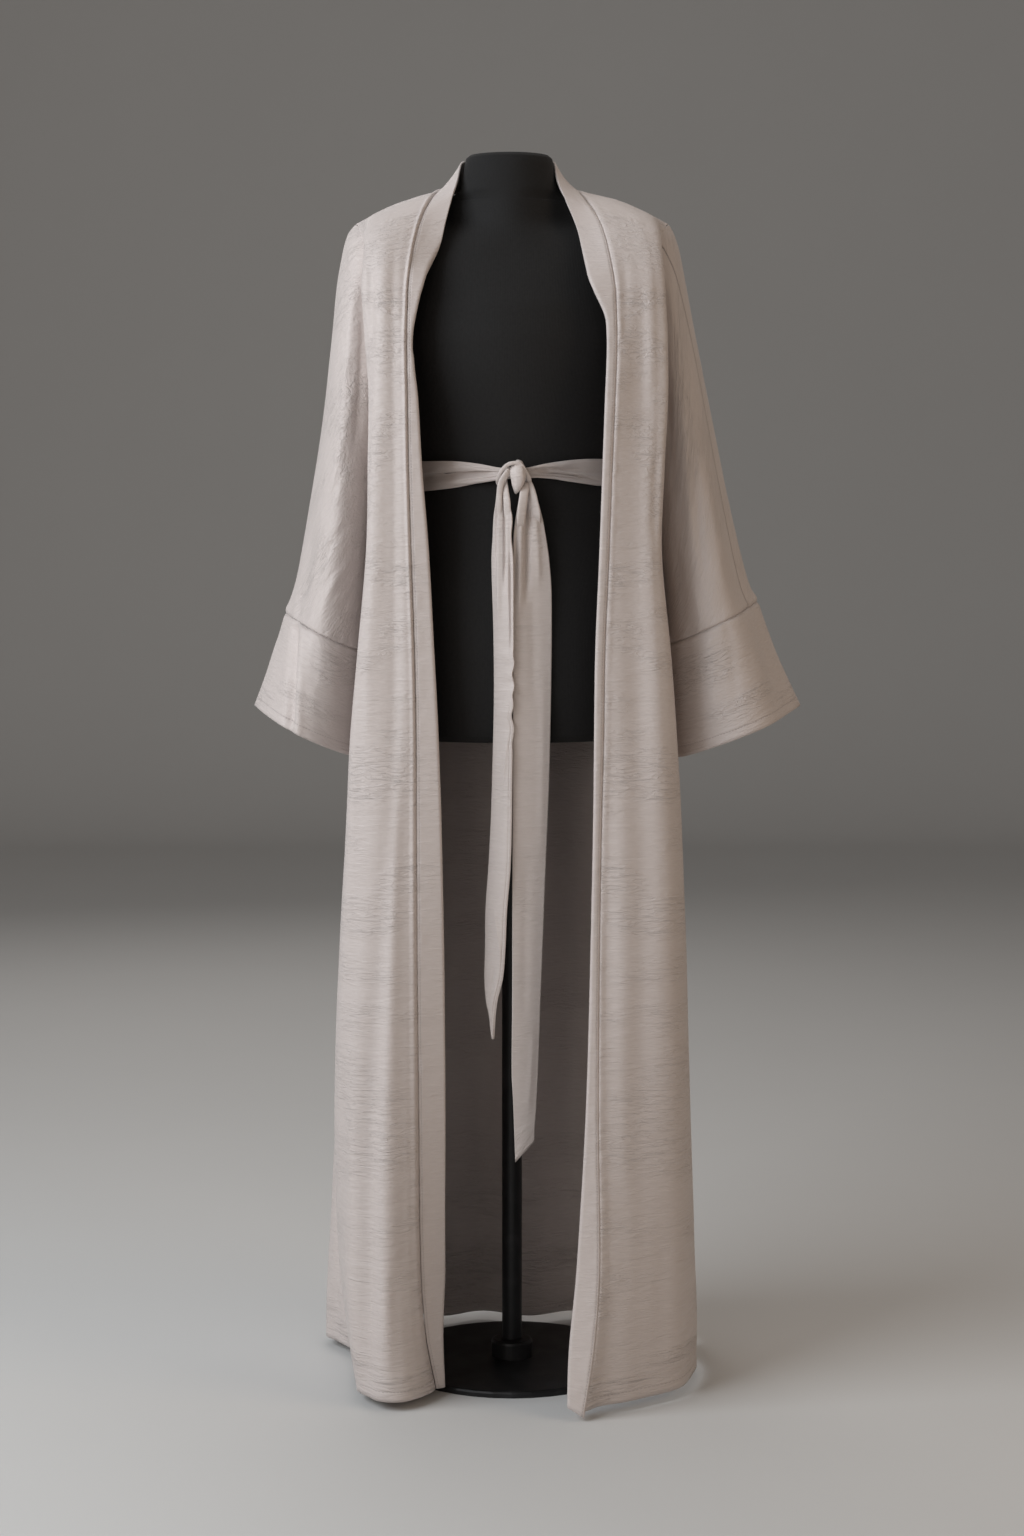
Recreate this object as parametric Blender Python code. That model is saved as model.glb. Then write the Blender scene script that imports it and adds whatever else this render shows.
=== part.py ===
"""Open abaya cloak with its tie belt, standing on a limbless dress form.

Metres, +Z up.  The garment faces -Y, so the wearer's right is at -X and the wearer's left at +X.
The origin is the centre of the stand's underside, on the floor.
"""

import math
from collections import namedtuple

import bmesh
import bpy
from mathutils import Vector

# ---- driving dimensions ----
CLOTH = 0.0015             # wall of the single cloth
BAND_CLOTH = 0.0024        # folded front band
CUFF_CLOTH = 0.0018        # hemmed cuff
BELT_CLOTH = 0.0020        # belt, sewn double
SEAM_GAP = 0.0004          # space between two pieces at a seam
BAND_GAP = 0.0010          # the same where the band folds back from the front
BAND_WIDTH = 0.034         # front band, seam to free edge
SHOULDER_NECK = Vector((0.080, 0.008, 1.4560))    # inner end of the shoulder seam
SHOULDER_TIP = Vector((0.188, 0.004, 1.4110))     # outer end, at the armhole
SHOULDER_BOW = 0.0035      # how far the shoulder seam arches above a straight line
NECK_DEPTH = 0.056         # back neckline, behind the shoulder seam
NECK_DROP = 0.0060         # back neckline, below the shoulder seam
CAP_BOTTOM = 1.33          # below this height the panels hang free
UNDERARM = 1.12
HEM = 0.012
ARMHOLE_HALF_DEPTH = 0.057
SKIRT_ROWS = 16
CAP_ROWS = 6
FRONT_COLUMNS = 14
BACK_COLUMNS = 30
ARMHOLE_HEIGHTS = (1.290, 1.250, 1.210, 1.170, 1.137, UNDERARM)

# ---- front panels in plan: the seam with the band, a point near it, the middle, the outer fold,
# ---- the tuck behind that fold and the side seam.  "round" swells the stretch between the middle
# ---- and the outer fold, and "reach" turns the band.
Section = namedtuple(
    "Section",
    "z seam_x seam_y near_x near_y front_x front_y round ridge_x ridge_y tuck_x tuck_y side_x side_y reach",
)
FRONT_PLACES = (0.0, 0.14, 0.40, 0.58, 0.76, 0.88, 1.0)
RIGHT_FRONT = [
    Section(1.33, .1225, -.106, .131, -.116, .150, -.113, .004, .1785, -.088, .174, -.066, .171, -.050, .0160),
    Section(1.27, .1236, -.119, .133, -.130, .150, -.124, .004, .1775, -.096, .171, -.072, .166, -.057, .0078),
    Section(1.20, .1226, -.126, .132, -.137, .150, -.131, .004, .1745, -.100, .167, -.068, .163, -.047, .0115),
    Section(1.12, .1215, -.129, .131, -.141, .149, -.134, .004, .1748, -.102, .164, -.058, .160, .000, .0150),
    Section(1.02, .1187, -.131, .129, -.144, .148, -.137, .004, .1762, -.104, .167, -.062, .161, .000, .0200),
    Section(0.90, .1150, -.134, .126, -.147, .149, -.141, .005, .1872, -.106, .175, -.066, .168, .000, .0225),
    Section(0.80, .1133, -.137, .125, -.150, .150, -.145, .006, .1955, -.106, .183, -.068, .172, .000, .0255),
    Section(0.70, .1130, -.141, .126, -.154, .152, -.150, .006, .1982, -.106, .192, -.062, .185, .000, .0285),
    Section(0.55, .1125, -.148, .127, -.161, .155, -.157, .007, .2055, -.104, .203, -.055, .199, .002, .0310),
    Section(0.35, .1110, -.154, .127, -.169, .157, -.168, .008, .2140, -.100, .210, -.050, .205, .005, .0315),
    Section(0.17, .1090, -.156, .125, -.177, .157, -.184, .009, .2120, -.100, .208, -.045, .203, .008, .0290),
    Section(0.08, .1030, -.156, .120, -.183, .150, -.195, .010, .2030, -.110, .201, -.045, .200, .008, .0200),
    Section(HEM, .0910, -.150, .110, -.186, .142, -.202, .010, .1920, -.125, .195, -.055, .199, .006, .0100),
]
LEFT_FRONT = [
    Section(1.33, .1222, -.106, .131, -.113, .152, -.111, .004, .1815, -.088, .175, -.066, .171, -.050, .0170),
    Section(1.27, .1238, -.118, .132, -.124, .152, -.122, .004, .1842, -.096, .173, -.072, .166, -.057, .0115),
    Section(1.20, .1215, -.125, .130, -.130, .152, -.129, .004, .1850, -.100, .169, -.068, .163, -.047, .0112),
    Section(1.12, .1182, -.129, .127, -.134, .150, -.134, .004, .1810, -.102, .165, -.058, .160, .000, .0108),
    Section(1.02, .1148, -.132, .124, -.137, .149, -.137, .004, .1782, -.104, .167, -.062, .161, .000, .0108),
    Section(0.90, .1100, -.135, .120, -.141, .149, -.141, .005, .1895, -.106, .176, -.066, .168, .000, .0106),
    Section(0.80, .1088, -.139, .119, -.145, .150, -.145, .006, .1972, -.106, .184, -.068, .172, .000, .0106),
    Section(0.70, .1065, -.144, .117, -.149, .152, -.150, .007, .2035, -.105, .194, -.062, .186, .000, .0095),
    Section(0.55, .1043, -.154, .115, -.154, .154, -.158, .008, .2100, -.103, .206, -.055, .201, .002, .0100),
    Section(0.35, .1030, -.175, .112, -.161, .156, -.170, .010, .2165, -.098, .213, -.050, .208, .004, .0150),
    Section(0.17, .1040, -.203, .110, -.163, .153, -.184, .012, .2232, -.092, .221, -.045, .214, .006, .0270),
    Section(0.08, .0970, -.221, .104, -.160, .150, -.193, .014, .2262, -.088, .226, -.040, .218, .006, .0290),
    Section(HEM, .0860, -.237, .098, -.154, .149, -.197, .014, .2240, -.086, .230, -.035, .220, .008, .0210),
]

# ---- back panel in plan, one row for each height; the two ridges differ a little ----
Back = namedtuple("Back", "z tuck_x tuck_y right_x left_x ridge_y round mid_x mid_y centre_y")
BACK_PLACES = (0.0, 0.06, 0.14, 0.225, 0.33, 0.5)
BACK = [
    Back(1.33, .174, .066, .1780, .1790, .086, .004, .110, .112, .116),
    Back(1.27, .171, .072, .1770, .1790, .092, .004, .110, .118, .122),
    Back(1.20, .167, .068, .1750, .1780, .094, .004, .110, .118, .121),
    Back(1.12, .164, .058, .1750, .1760, .094, .004, .110, .117, .119),
    Back(1.02, .167, .062, .1760, .1770, .096, .004, .110, .121, .123),
    Back(0.90, .175, .066, .1820, .1840, .097, .005, .112, .130, .133),
    Back(0.80, .182, .068, .1880, .1900, .097, .006, .114, .135, .138),
    Back(0.70, .190, .064, .1950, .1970, .096, .008, .116, .139, .142),
    Back(0.55, .202, .060, .2050, .2080, .094, .010, .120, .144, .148),
    Back(0.35, .212, .056, .2190, .2190, .090, .013, .124, .151, .156),
    Back(0.17, .218, .050, .2310, .2270, .084, .018, .128, .158, .163),
    Back(0.08, .220, .045, .2365, .2300, .080, .021, .130, .162, .167),
    Back(HEM, .221, .042, .2385, .2310, .078, .023, .132, .166, .171),
]

# ---- hanging folds: where they lie across a panel at the top and at the hem, how wide and deep,
# ---- the height at which they start and the share of the depth that reaches the hem ----
Fold = namedtuple("Fold", "top_place hem_place width depth starts hem_share")
RIGHT_FOLDS = [
    Fold(0.34, 0.72, 0.09, -.009, 1.40, 0.5),
    Fold(0.62, 0.88, 0.08, .004, 1.30, 0.3),
    Fold(0.12, 0.54, 0.10, .010, 1.05, 0.7),
    Fold(0.08, 0.26, 0.08, -.007, 0.75, 0.6),
]
LEFT_FOLDS = [
    Fold(0.20, 0.30, 0.08, .006, 1.10, 0.4),
    Fold(0.37, 0.47, 0.09, -.007, 1.05, 0.4),
    Fold(0.64, 0.68, 0.09, -.003, 1.25, 0.4),
]
BACK_FOLDS = [
    Fold(0.25, 0.27, 0.035, -.009, 1.22, 1.0),
    Fold(0.31, 0.325, 0.035, .010, 1.15, 1.0),
    Fold(0.38, 0.385, 0.038, -.013, 1.20, 1.0),
    Fold(0.455, 0.45, 0.040, .012, 1.10, 1.0),
    Fold(0.53, 0.53, 0.040, -.012, 1.20, 1.0),
    Fold(0.61, 0.60, 0.040, .013, 1.10, 1.0),
    Fold(0.68, 0.67, 0.035, -.011, 1.20, 1.0),
    Fold(0.745, 0.73, 0.035, .008, 1.15, 1.0),
]

# ---- sleeves: the overarm line, the underarm line and the half depth, down to the cuff's hem ----
Arm = namedtuple("Arm", "t over_x over_z under_x under_z depth")
RIGHT_SLEEVE = [
    Arm(0.00, .1880, 1.4110, .1604, 1.1200, .057),
    Arm(0.04, .1965, 1.3980, .1622, 1.1120, .060),
    Arm(0.09, .2040, 1.3780, .1645, 1.1010, .063),
    Arm(0.18, .2110, 1.3420, .1680, 1.0800, .066),
    Arm(0.32, .2175, 1.2780, .1725, 1.0480, .070),
    Arm(0.50, .2310, 1.1800, .1765, 1.0060, .074),
    Arm(0.70, .2480, 1.0750, .1800, 0.9620, .078),
    Arm(0.88, .2650, 0.9850, .1820, 0.9240, .081),
    Arm(1.00, .2790, 0.9430, .1825, 0.8970, .083),
    Arm(1.45, .2960, 0.8870, .1850, 0.8400, .091),
    Arm(2.00, .3180, 0.8290, .1900, 0.7680, .098),
]
LEFT_SLEEVE = [
    Arm(0.00, .1880, 1.4110, .1604, 1.1200, .057),
    Arm(0.04, .1985, 1.3980, .1622, 1.1120, .060),
    Arm(0.09, .2065, 1.3780, .1645, 1.1010, .063),
    Arm(0.18, .2130, 1.3420, .1690, 1.0800, .066),
    Arm(0.32, .2240, 1.2780, .1750, 1.0500, .070),
    Arm(0.50, .2440, 1.1800, .1820, 1.0100, .074),
    Arm(0.70, .2665, 1.0750, .1880, 0.9660, .079),
    Arm(0.88, .2890, 0.9860, .1890, 0.9300, .083),
    Arm(1.00, .3020, 0.9570, .1885, 0.9050, .085),
    Arm(1.45, .3260, 0.8930, .1920, 0.8450, .093),
    Arm(2.00, .3560, 0.8290, .1980, 0.7660, .100),
]
SLEEVE_SHIFT_Y = 0.004     # the sleeves hang a little behind the shoulder seam
SLEEVE_ROWS = 11
CUFF_ROWS = 5
ARMHOLE_BLEND = 0.45       # share of the sleeve in which the armhole's own outline fades out
Crease = namedtuple("Crease", "angle width depth starts")
RIGHT_CREASES = [Crease(58, 22, -.014, 0.35), Crease(95, 26, .008, 0.20), Crease(285, 30, -.008, 0.40)]
LEFT_CREASES = [Crease(40, 16, -.007, 0.30), Crease(120, 26, -.009, 0.10), Crease(290, 30, -.008, 0.40)]

# ---- the band's seam and turn round the neck, centre back to the shoulder seam ----
NECK_STATIONS = 6
Turn = namedtuple("Turn", "z rise")
BAND_RISE = [Turn(1.4560, .0270), Turn(1.445, .0150), Turn(1.415, .0090), Turn(1.380, .0040), Turn(1.330, .0010), Turn(HEM, .0)]
SHOULDER_REACH = 0.0195    # how far the band leans in towards the neck at the shoulder seam
CHEST_REACH = 0.030        # and over the collarbone
BAND_BOW = 0.0012
BAND_SEGMENTS = 3
LEFT_TIP_DROP = 0.007      # the left band's end is slanted: its seam corner hangs lower
LEFT_CORNER_RISE = 0.010   # and its free corner higher

# ---- dress form: half width, front and back of each level ----
Level = namedtuple("Level", "z half front back")
FORM = [
    Level(0.790, .1480, -.0920, .1000),
    Level(0.798, .1540, -.0980, .1060),
    Level(0.850, .1585, -.1040, .1130),
    Level(0.910, .1590, -.1050, .1160),
    Level(0.970, .1530, -.1020, .1110),
    Level(1.030, .1390, -.0950, .0990),
    Level(1.085, .1270, -.0885, .0890),
    Level(1.107, .1250, -.0875, .0870),
    Level(1.130, .1265, -.0890, .0880),
    Level(1.180, .1350, -.0960, .0930),
    Level(1.235, .1455, -.1060, .0990),
    Level(1.275, .1510, -.1090, .1020),
    Level(1.310, .1550, -.1020, .1030),
    Level(1.345, .1600, -.0850, .1010),
    Level(1.375, .1650, -.0700, .0950),
    Level(1.400, .1680, -.0630, .0860),
    Level(1.412, .1660, -.0605, .0800),
]
NECK = [
    Level(1.4460, .0660, -.0560, .0530),
    Level(1.4580, .0605, -.0550, .0520),
    Level(1.4720, .0585, -.0545, .0515),
    Level(1.4840, .0555, -.0535, .0505),
    Level(1.4900, .0530, -.0510, .0480),
    Level(1.4930, .0480, -.0460, .0430),
]
SHOULDER_LEVELS = (0.158, 0.145, 0.125, 0.105)    # half widths at which the form's shoulder follows the cloak's
FORM_SEGMENTS = 36
NECK_CORE = 0.068          # half width of the neck's round in the shoulder sections
SHOULDER_FLANK = 0.30      # share of a shoulder section's depth that its flanks keep
SHOULDER_SEAT = 0.0008     # cloak over form, measured down
TIP_DROP = 0.0100          # the form's shoulder falls away from the cloak towards its tip
NECK_CLEAR = 0.0082        # and a little under the band, beside the neck
POLE_RADIUS = 0.0125
COLLAR_RADIUS = 0.024
COLLAR_HEIGHT = 0.030
BASE_RADIUS = 0.150
BASE_HEIGHT = 0.0080
BOSS_RADIUS = 0.026
BOSS_HEIGHT = 0.022
STAND_SEGMENTS = 40

# ---- belt ----
BELT_LIFT = 0.0011         # belt over form
BELT_ROWS = 5
BELT_PLY = 0.0012          # height of the belt's two lengthwise folds
BELT_TOP = 1.128
BELT_BOTTOM = 1.087
KNOT = Vector((0.004, -0.1054, 1.1050))
KNOT_HALF = Vector((0.0150, 0.0130, 0.0195))
BELT_PINCH_TOP = 1.1160    # where the loop runs in behind the knot
BELT_PINCH_BOTTOM = 1.0950
PINCH_WIDTH = 0.055        # distance over which the belt narrows to the knot
Strip = namedtuple("Strip", "z left right left_y right_y")
RIGHT_END = [
    Strip(1.0980, -.0080, .0018, -.0939, -.0939),
    Strip(1.0840, -.0105, .0016, -.0946, -.0950),
    Strip(1.0600, -.0150, .0012, -.1040, -.1080),
    Strip(1.0000, -.0190, .0014, -.1180, -.1150),
    Strip(0.9000, -.0225, .0012, -.1190, -.1150),
    Strip(0.8000, -.0240, .0010, -.1170, -.1130),
    Strip(0.7000, -.0265, .0008, -.1160, -.1120),
    Strip(0.6200, -.0310, -.0030, -.1160, -.1120),
    Strip(0.5400, -.0330, -.0080, -.1160, -.1100),
    Strip(0.4800, -.0315, -.0150, -.1160, -.1090),
    Strip(0.4340, -.0255, -.0225, -.1160, -.1140),
]
LEFT_END = [
    Strip(1.0980, .0056, .0160, -.0939, -.0939),
    Strip(1.0840, .0060, .0230, -.0950, -.0946),
    Strip(1.0600, .0060, .0330, -.1070, -.1040),
    Strip(1.0000, .0030, .0430, -.1120, -.1180),
    Strip(0.9000, .0035, .0470, -.1110, -.1170),
    Strip(0.7800, .0034, .0455, -.1100, -.1150),
    Strip(0.6600, .0030, .0420, -.1100, -.1140),
    Strip(0.5400, .0025, .0375, -.1100, -.1140),
    Strip(0.4200, .0015, .0335, -.1100, -.1130),
    Strip(0.3200, .0030, .0290, -.1100, -.1130),
    Strip(0.2820, .0040, .0270, -.1100, -.1130),
]
LEFT_END_SLANT = 0.016     # the cut end rises this much from its inner to its outer corner
END_ROWS = 22
END_COLUMNS = 4
END_BOW = 0.0025

MATERIALS = {
    "cloak_cloth": ((0.47, 0.41, 0.375), 0.62, 0.0),
    "belt_cloth": ((0.46, 0.40, 0.365), 0.62, 0.0),
    "form_jersey": ((0.012, 0.011, 0.011), 0.75, 0.0),
    "stand_metal": ((0.020, 0.020, 0.021), 0.40, 0.8),
}


# ---- reading the tables ----
def hermite(x, x0, x1, y0, y1, slope0, slope1):
    """Cubic from (x0, y0) to (x1, y1) with these end slopes."""
    span = x1 - x0
    t = (x - x0) / span
    return (
        y0 * (2 * t**3 - 3 * t**2 + 1)
        + slope0 * span * (t**3 - 2 * t**2 + t)
        + y1 * (3 * t**2 - 2 * t**3)
        + slope1 * span * (t**3 - t**2)
    )


def curve_value(keys, values, x):
    """Smooth curve through values at rising or falling keys."""
    if keys[0] > keys[-1]:
        keys, values = keys[::-1], values[::-1]
    x = min(max(x, keys[0]), keys[-1])
    k = 0
    while k < len(keys) - 2 and x > keys[k + 1]:
        k += 1

    def slope(i):
        low, high = max(i - 1, 0), min(i + 1, len(keys) - 1)
        return (values[high] - values[low]) / (keys[high] - keys[low])

    return hermite(x, keys[k], keys[k + 1], values[k], values[k + 1], slope(k), slope(k + 1))


def read(table, key, column):
    """One named column of a table at a key, which is the table's first column."""
    return curve_value([row[0] for row in table], [getattr(row, column) for row in table], key)


def ease(x):
    x = min(max(x, 0.0), 1.0)
    return x * x * (3 - 2 * x)


def fold_offset(folds, place, height):
    """How far the hanging folds push a panel out at this place and height."""
    total = 0.0
    for fold in folds:
        fall = min(max((fold.starts - height) / (fold.starts - HEM), 0.0), 1.0)
        centre = fold.top_place + (fold.hem_place - fold.top_place) * fall
        depth = fold.depth * ease(fall * 1.5) * (1 - (1 - fold.hem_share) * ease((0.30 - height) / 0.30))
        total += depth * math.exp(-(((place - centre) / fold.width) ** 2))
    return total


def plan_point(places, corners, folds, place, height):
    """A point of a panel in plan, pushed out along the plan's normal by the folds."""
    def at(s):
        return Vector([curve_value(places, [c[i] for c in corners], s) for i in (0, 1)])

    step = 0.004
    along = at(min(place + step, places[-1])) - at(max(place - step, places[0]))
    outward = Vector((along.y, -along.x)).normalized()
    here = at(place)
    if outward.dot(here) < 0:
        outward = -outward
    edge = ease(min(place - places[0], places[-1] - place) / 0.10)
    return here + outward * fold_offset(folds, place, height) * edge


def rounded(a, b, swell):
    """Middle of the stretch from a to b in plan, swelled outwards."""
    a, b = Vector(a), Vector(b)
    out = Vector((a.y - b.y, b.x - a.x)).normalized()
    middle = (a + b) / 2
    return tuple(middle + out * (swell if out.dot(middle) > 0 else -swell))


def front_plan(table, folds, place, height):
    corners = [
        (read(table, height, name + "_x"), read(table, height, name + "_y"))
        for name in ("seam", "near", "front", "ridge", "tuck", "side")
    ]
    corners.insert(3, rounded(corners[2], corners[3], read(table, height, "round")))
    if height > UNDERARM:
        corners[-1] = armhole_plan(height, -1)
    point = plan_point(FRONT_PLACES, corners, folds, place, height)
    return Vector((point.x, point.y, height))


def armhole_plan(height, front):
    """Point of the armhole at this height; front is -1 before the shoulder seam and 1 behind it."""
    middle = (SHOULDER_TIP.z + UNDERARM) / 2
    half = (SHOULDER_TIP.z - UNDERARM) / 2
    across = max(0.0, 1 - ((height - middle) / half) ** 2)
    x = read(RIGHT_FRONT, height, "side_x")
    return (x, front * ARMHOLE_HALF_DEPTH * math.sqrt(across))


def back_plan(place, height):
    """The back runs from the wearer's right side seam, place 0, to the left one, place 1."""
    right = place <= 0.5
    half_place = place if right else 1 - place
    table = RIGHT_FRONT if right else LEFT_FRONT
    side = (read(table, height, "side_x"), read(table, height, "side_y"))
    if height > UNDERARM:
        side = armhole_plan(height, 1)
    ridge = (read(BACK, height, "right_x" if right else "left_x"), read(BACK, height, "ridge_y"))
    middle = (read(BACK, height, "mid_x"), read(BACK, height, "mid_y"))
    corners = [
        side,
        (read(BACK, height, "tuck_x"), read(BACK, height, "tuck_y")),
        ridge,
        rounded(ridge, middle, read(BACK, height, "round")),
        middle,
        (0.0, read(BACK, height, "centre_y")),
    ]
    mirrored = [(-x, y) for x, y in corners[-2::-1]]
    places = BACK_PLACES + tuple(1 - p for p in BACK_PLACES[-2::-1])
    folds = BACK_FOLDS if right else [f._replace(top_place=1 - f.top_place, hem_place=1 - f.hem_place) for f in BACK_FOLDS]
    point = plan_point(places, corners + mirrored, folds, half_place, height)
    return Vector((-point.x if right else point.x, point.y, height))


def shoulder_point(share):
    """Point of the shoulder seam, 0 at the neck and 1 at the armhole."""
    point = SHOULDER_NECK.lerp(SHOULDER_TIP, share)
    point.z += SHOULDER_BOW * math.sin(math.pi * share)
    return point


def neckline_point(share):
    """Point of the back neckline, 0 at the centre back and 1 at the shoulder seam."""
    x = SHOULDER_NECK.x * math.sin(share * math.pi / 2)
    deep = math.cos(share * math.pi / 2)
    return Vector((x, SHOULDER_NECK.y + NECK_DEPTH * deep, SHOULDER_NECK.z - NECK_DROP * deep))


def over_shoulder(top, bottom, angle, straight):
    """A panel's way from its top edge down over the shoulder, as a quarter round mixed with a straight fall."""
    drop = 1 - math.cos(angle)
    out = (1 - straight) * math.sin(angle) + straight * drop
    return Vector(
        (
            top.x + (bottom.x - top.x) * out,
            top.y + (bottom.y - top.y) * out,
            top.z + (bottom.z - top.z) * drop,
        )
    )


def row_heights():
    skirt = [UNDERARM + (HEM - UNDERARM) * k / SKIRT_ROWS for k in range(1, SKIRT_ROWS + 1)]
    return list(ARMHOLE_HEIGHTS) + skirt


def front_points(side):
    """Rows of points of one front, from the band's seam to the side; side is -1 for the wearer's right."""
    table, folds = (RIGHT_FRONT, RIGHT_FOLDS) if side < 0 else (LEFT_FRONT, LEFT_FOLDS)
    places = [k / FRONT_COLUMNS for k in range(FRONT_COLUMNS + 1)]
    rows = []
    for k in range(CAP_ROWS + 1):
        angle = math.pi / 2 * k / CAP_ROWS
        rows.append(
            [
                over_shoulder(shoulder_point(s), front_plan(table, folds, s, CAP_BOTTOM), angle, 0.45 - 0.35 * s)
                for s in places
            ]
        )
    for height in row_heights():
        rows.append([front_plan(table, folds, s, height) for s in places])
    return [[Vector((p.x * side, p.y, p.z)) for p in row] for row in rows]


def back_points():
    places = [k / BACK_COLUMNS for k in range(BACK_COLUMNS + 1)]
    shoulder_end = 0.30
    rows = []
    for k in range(CAP_ROWS + 1):
        angle = math.pi / 2 * k / CAP_ROWS
        row = []
        for s in places:
            half_place = min(s, 1 - s)
            sign = -1 if s < 0.5 else 1
            if half_place <= shoulder_end:
                top, straight = shoulder_point(1 - half_place / shoulder_end), 0.12 + 0.3 * half_place
            else:
                share = 1 - (half_place - shoulder_end) / (0.5 - shoulder_end)
                top, straight = neckline_point(share), 0.21 + 0.34 * (1 - share)
            row.append(over_shoulder(Vector((top.x * sign, top.y, top.z)), back_plan(s, CAP_BOTTOM), angle, straight))
        rows.append(row)
    for height in row_heights():
        rows.append([back_plan(s, height) for s in places])
    return rows


# ---- cloth pieces: a grid of points, its normals, and seams that keep the pieces apart ----
class Cloth:
    def __init__(self, name, points, wall, material, ring=False, lift=0.0, facing=None):
        self.name, self.points, self.wall, self.material = name, points, wall, material
        self.ring = ring
        self.lift = lift    # moves the whole piece outwards, over what it lies on
        self.rows, self.columns = len(points), len(points[0])
        self.normals = [[self.normal_at(r, c) for c in range(self.columns)] for r in range(self.rows)]
        middle = sum((p for row in points for p in row), Vector()) / (self.rows * self.columns)
        reference = (lambda p: p - middle) if facing is None else facing
        vote = sum(n.dot(reference(p)) for ns, ps in zip(self.normals, points) for n, p in zip(ns, ps))
        if vote < 0:
            self.normals = [[-n for n in row] for row in self.normals]
        self.shift = [[Vector() for _ in row] for row in points]

    def beside(self, r, c):
        """The four neighbours of a point, clamped at the edges or carried round a ring."""
        if self.ring:
            left, right = (c - 1) % self.columns, (c + 1) % self.columns
        else:
            left, right = max(c - 1, 0), min(c + 1, self.columns - 1)
        return self.points[r][left], self.points[r][right], self.points[max(r - 1, 0)][c], self.points[min(r + 1, self.rows - 1)][c]

    def normal_at(self, r, c):
        left, right, above, below = self.beside(r, c)
        return (right - left).cross(below - above).normalized()

    def edge(self, which, first=0, last=None):
        """(row, column, row and column of the neighbour inside) along an edge."""
        across = range(self.columns)
        down = range(self.rows)
        found = {
            "top": [(0, c, 1, c) for c in across],
            "bottom": [(self.rows - 1, c, self.rows - 2, c) for c in across],
            "start": [(r, 0, r, 1) for r in down],
            "end": [(r, self.columns - 1, r, self.columns - 2) for r in down],
        }[which]
        return found[first:last]


def join(a, edge_a, b, edge_b, gap=SEAM_GAP):
    """Parts two pieces by the seam gap and gives a smooth or raised seam one shared wall direction."""
    for (ra, ca, ia, ja), (rb, cb, ib, jb) in zip(edge_a, edge_b):
        seam = a.points[ra][ca]
        into_a = (a.points[ia][ja] - seam).normalized()
        into_b = (b.points[ib][jb] - seam).normalized()
        normal_a, normal_b = a.normals[ra][ca], b.normals[rb][cb]
        half = gap / 2
        valley = normal_a.dot(into_b) + normal_b.dot(into_a)
        if valley > 0.10:
            apart = (1 - normal_a.dot(normal_b)) / 2
            a.shift[ra][ca] += (into_a - normal_a * apart) * half
            b.shift[rb][cb] += (into_b - normal_b * apart) * half
            continue
        shared = (normal_a + normal_b).normalized()
        lean = max(0.45, math.sqrt(max(0.0, 1 - into_a.dot(shared) ** 2)))
        a.shift[ra][ca] += into_a * half / lean
        b.shift[rb][cb] += into_b * half / lean
        a.normals[ra][ca] = shared
        b.normals[rb][cb] = shared


# ---- meshes ----
def material_of(name):
    if name in bpy.data.materials:
        return bpy.data.materials[name]
    colour, roughness, metallic = MATERIALS[name]
    material = bpy.data.materials.new(name)
    material.use_nodes = True
    shader = material.node_tree.nodes["Principled BSDF"]
    shader.inputs["Base Color"].default_value = (*colour, 1)
    shader.inputs["Roughness"].default_value = roughness
    shader.inputs["Metallic"].default_value = metallic
    return material


def finish_object(name, bm, material, parent=None):
    bmesh.ops.recalc_face_normals(bm, faces=bm.faces[:])
    mesh = bpy.data.meshes.new(name)
    bm.to_mesh(mesh)
    bm.free()
    mesh.shade_smooth()
    mesh.set_sharp_from_angle(angle=math.radians(50))
    mesh.materials.append(material_of(material))
    made = bpy.data.objects.new(name, mesh)
    bpy.context.scene.collection.objects.link(made)
    made.parent = parent
    return made


def surface_mesh(points, ring):
    """A grid laid on rows of points; a ring's last column is welded to its first."""
    rows, columns = len(points), len(points[0])
    spans = columns if ring else columns - 1
    bm = bmesh.new()
    bm.verts.layers.float_vector.new("inward")
    bmesh.ops.create_grid(bm, x_segments=spans, y_segments=rows - 1, size=0.5)
    place = {}
    for vert in bm.verts:
        c = round((vert.co.x + 0.5) * spans)
        r = round((0.5 - vert.co.y) * (rows - 1))
        place[vert] = (r, c % columns)
    for vert, (r, c) in place.items():
        vert.co = points[r][c]
    return bm, place


def cloth_object(piece, parent):
    """The piece's outer surface, extruded inwards to its wall's thickness."""
    bm, place = surface_mesh(piece.points, piece.ring)
    inward = bm.verts.layers.float_vector["inward"]
    for vert, (r, c) in place.items():
        normal = piece.normals[r][c]
        vert.co = piece.points[r][c] + piece.shift[r][c] + normal * piece.lift
        vert[inward] = -normal * piece.wall
    if piece.ring:
        bmesh.ops.remove_doubles(bm, verts=bm.verts[:], dist=1e-6)
    made = bmesh.ops.extrude_face_region(bm, geom=bm.faces[:], use_keep_orig=True)
    for vert in made["geom"]:
        if isinstance(vert, bmesh.types.BMVert):
            vert.co += vert[inward]
    return finish_object(piece.name, bm, piece.material, parent)


def loft_object(name, rings, material, parent):
    """A closed solid through rings of points, its two ends capped."""
    bm, _ = surface_mesh(rings, True)
    bmesh.ops.remove_doubles(bm, verts=bm.verts[:], dist=1e-6)
    bmesh.ops.holes_fill(bm, edges=[e for e in bm.edges if e.is_boundary], sides=0)
    return finish_object(name, bm, material, parent)


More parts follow.
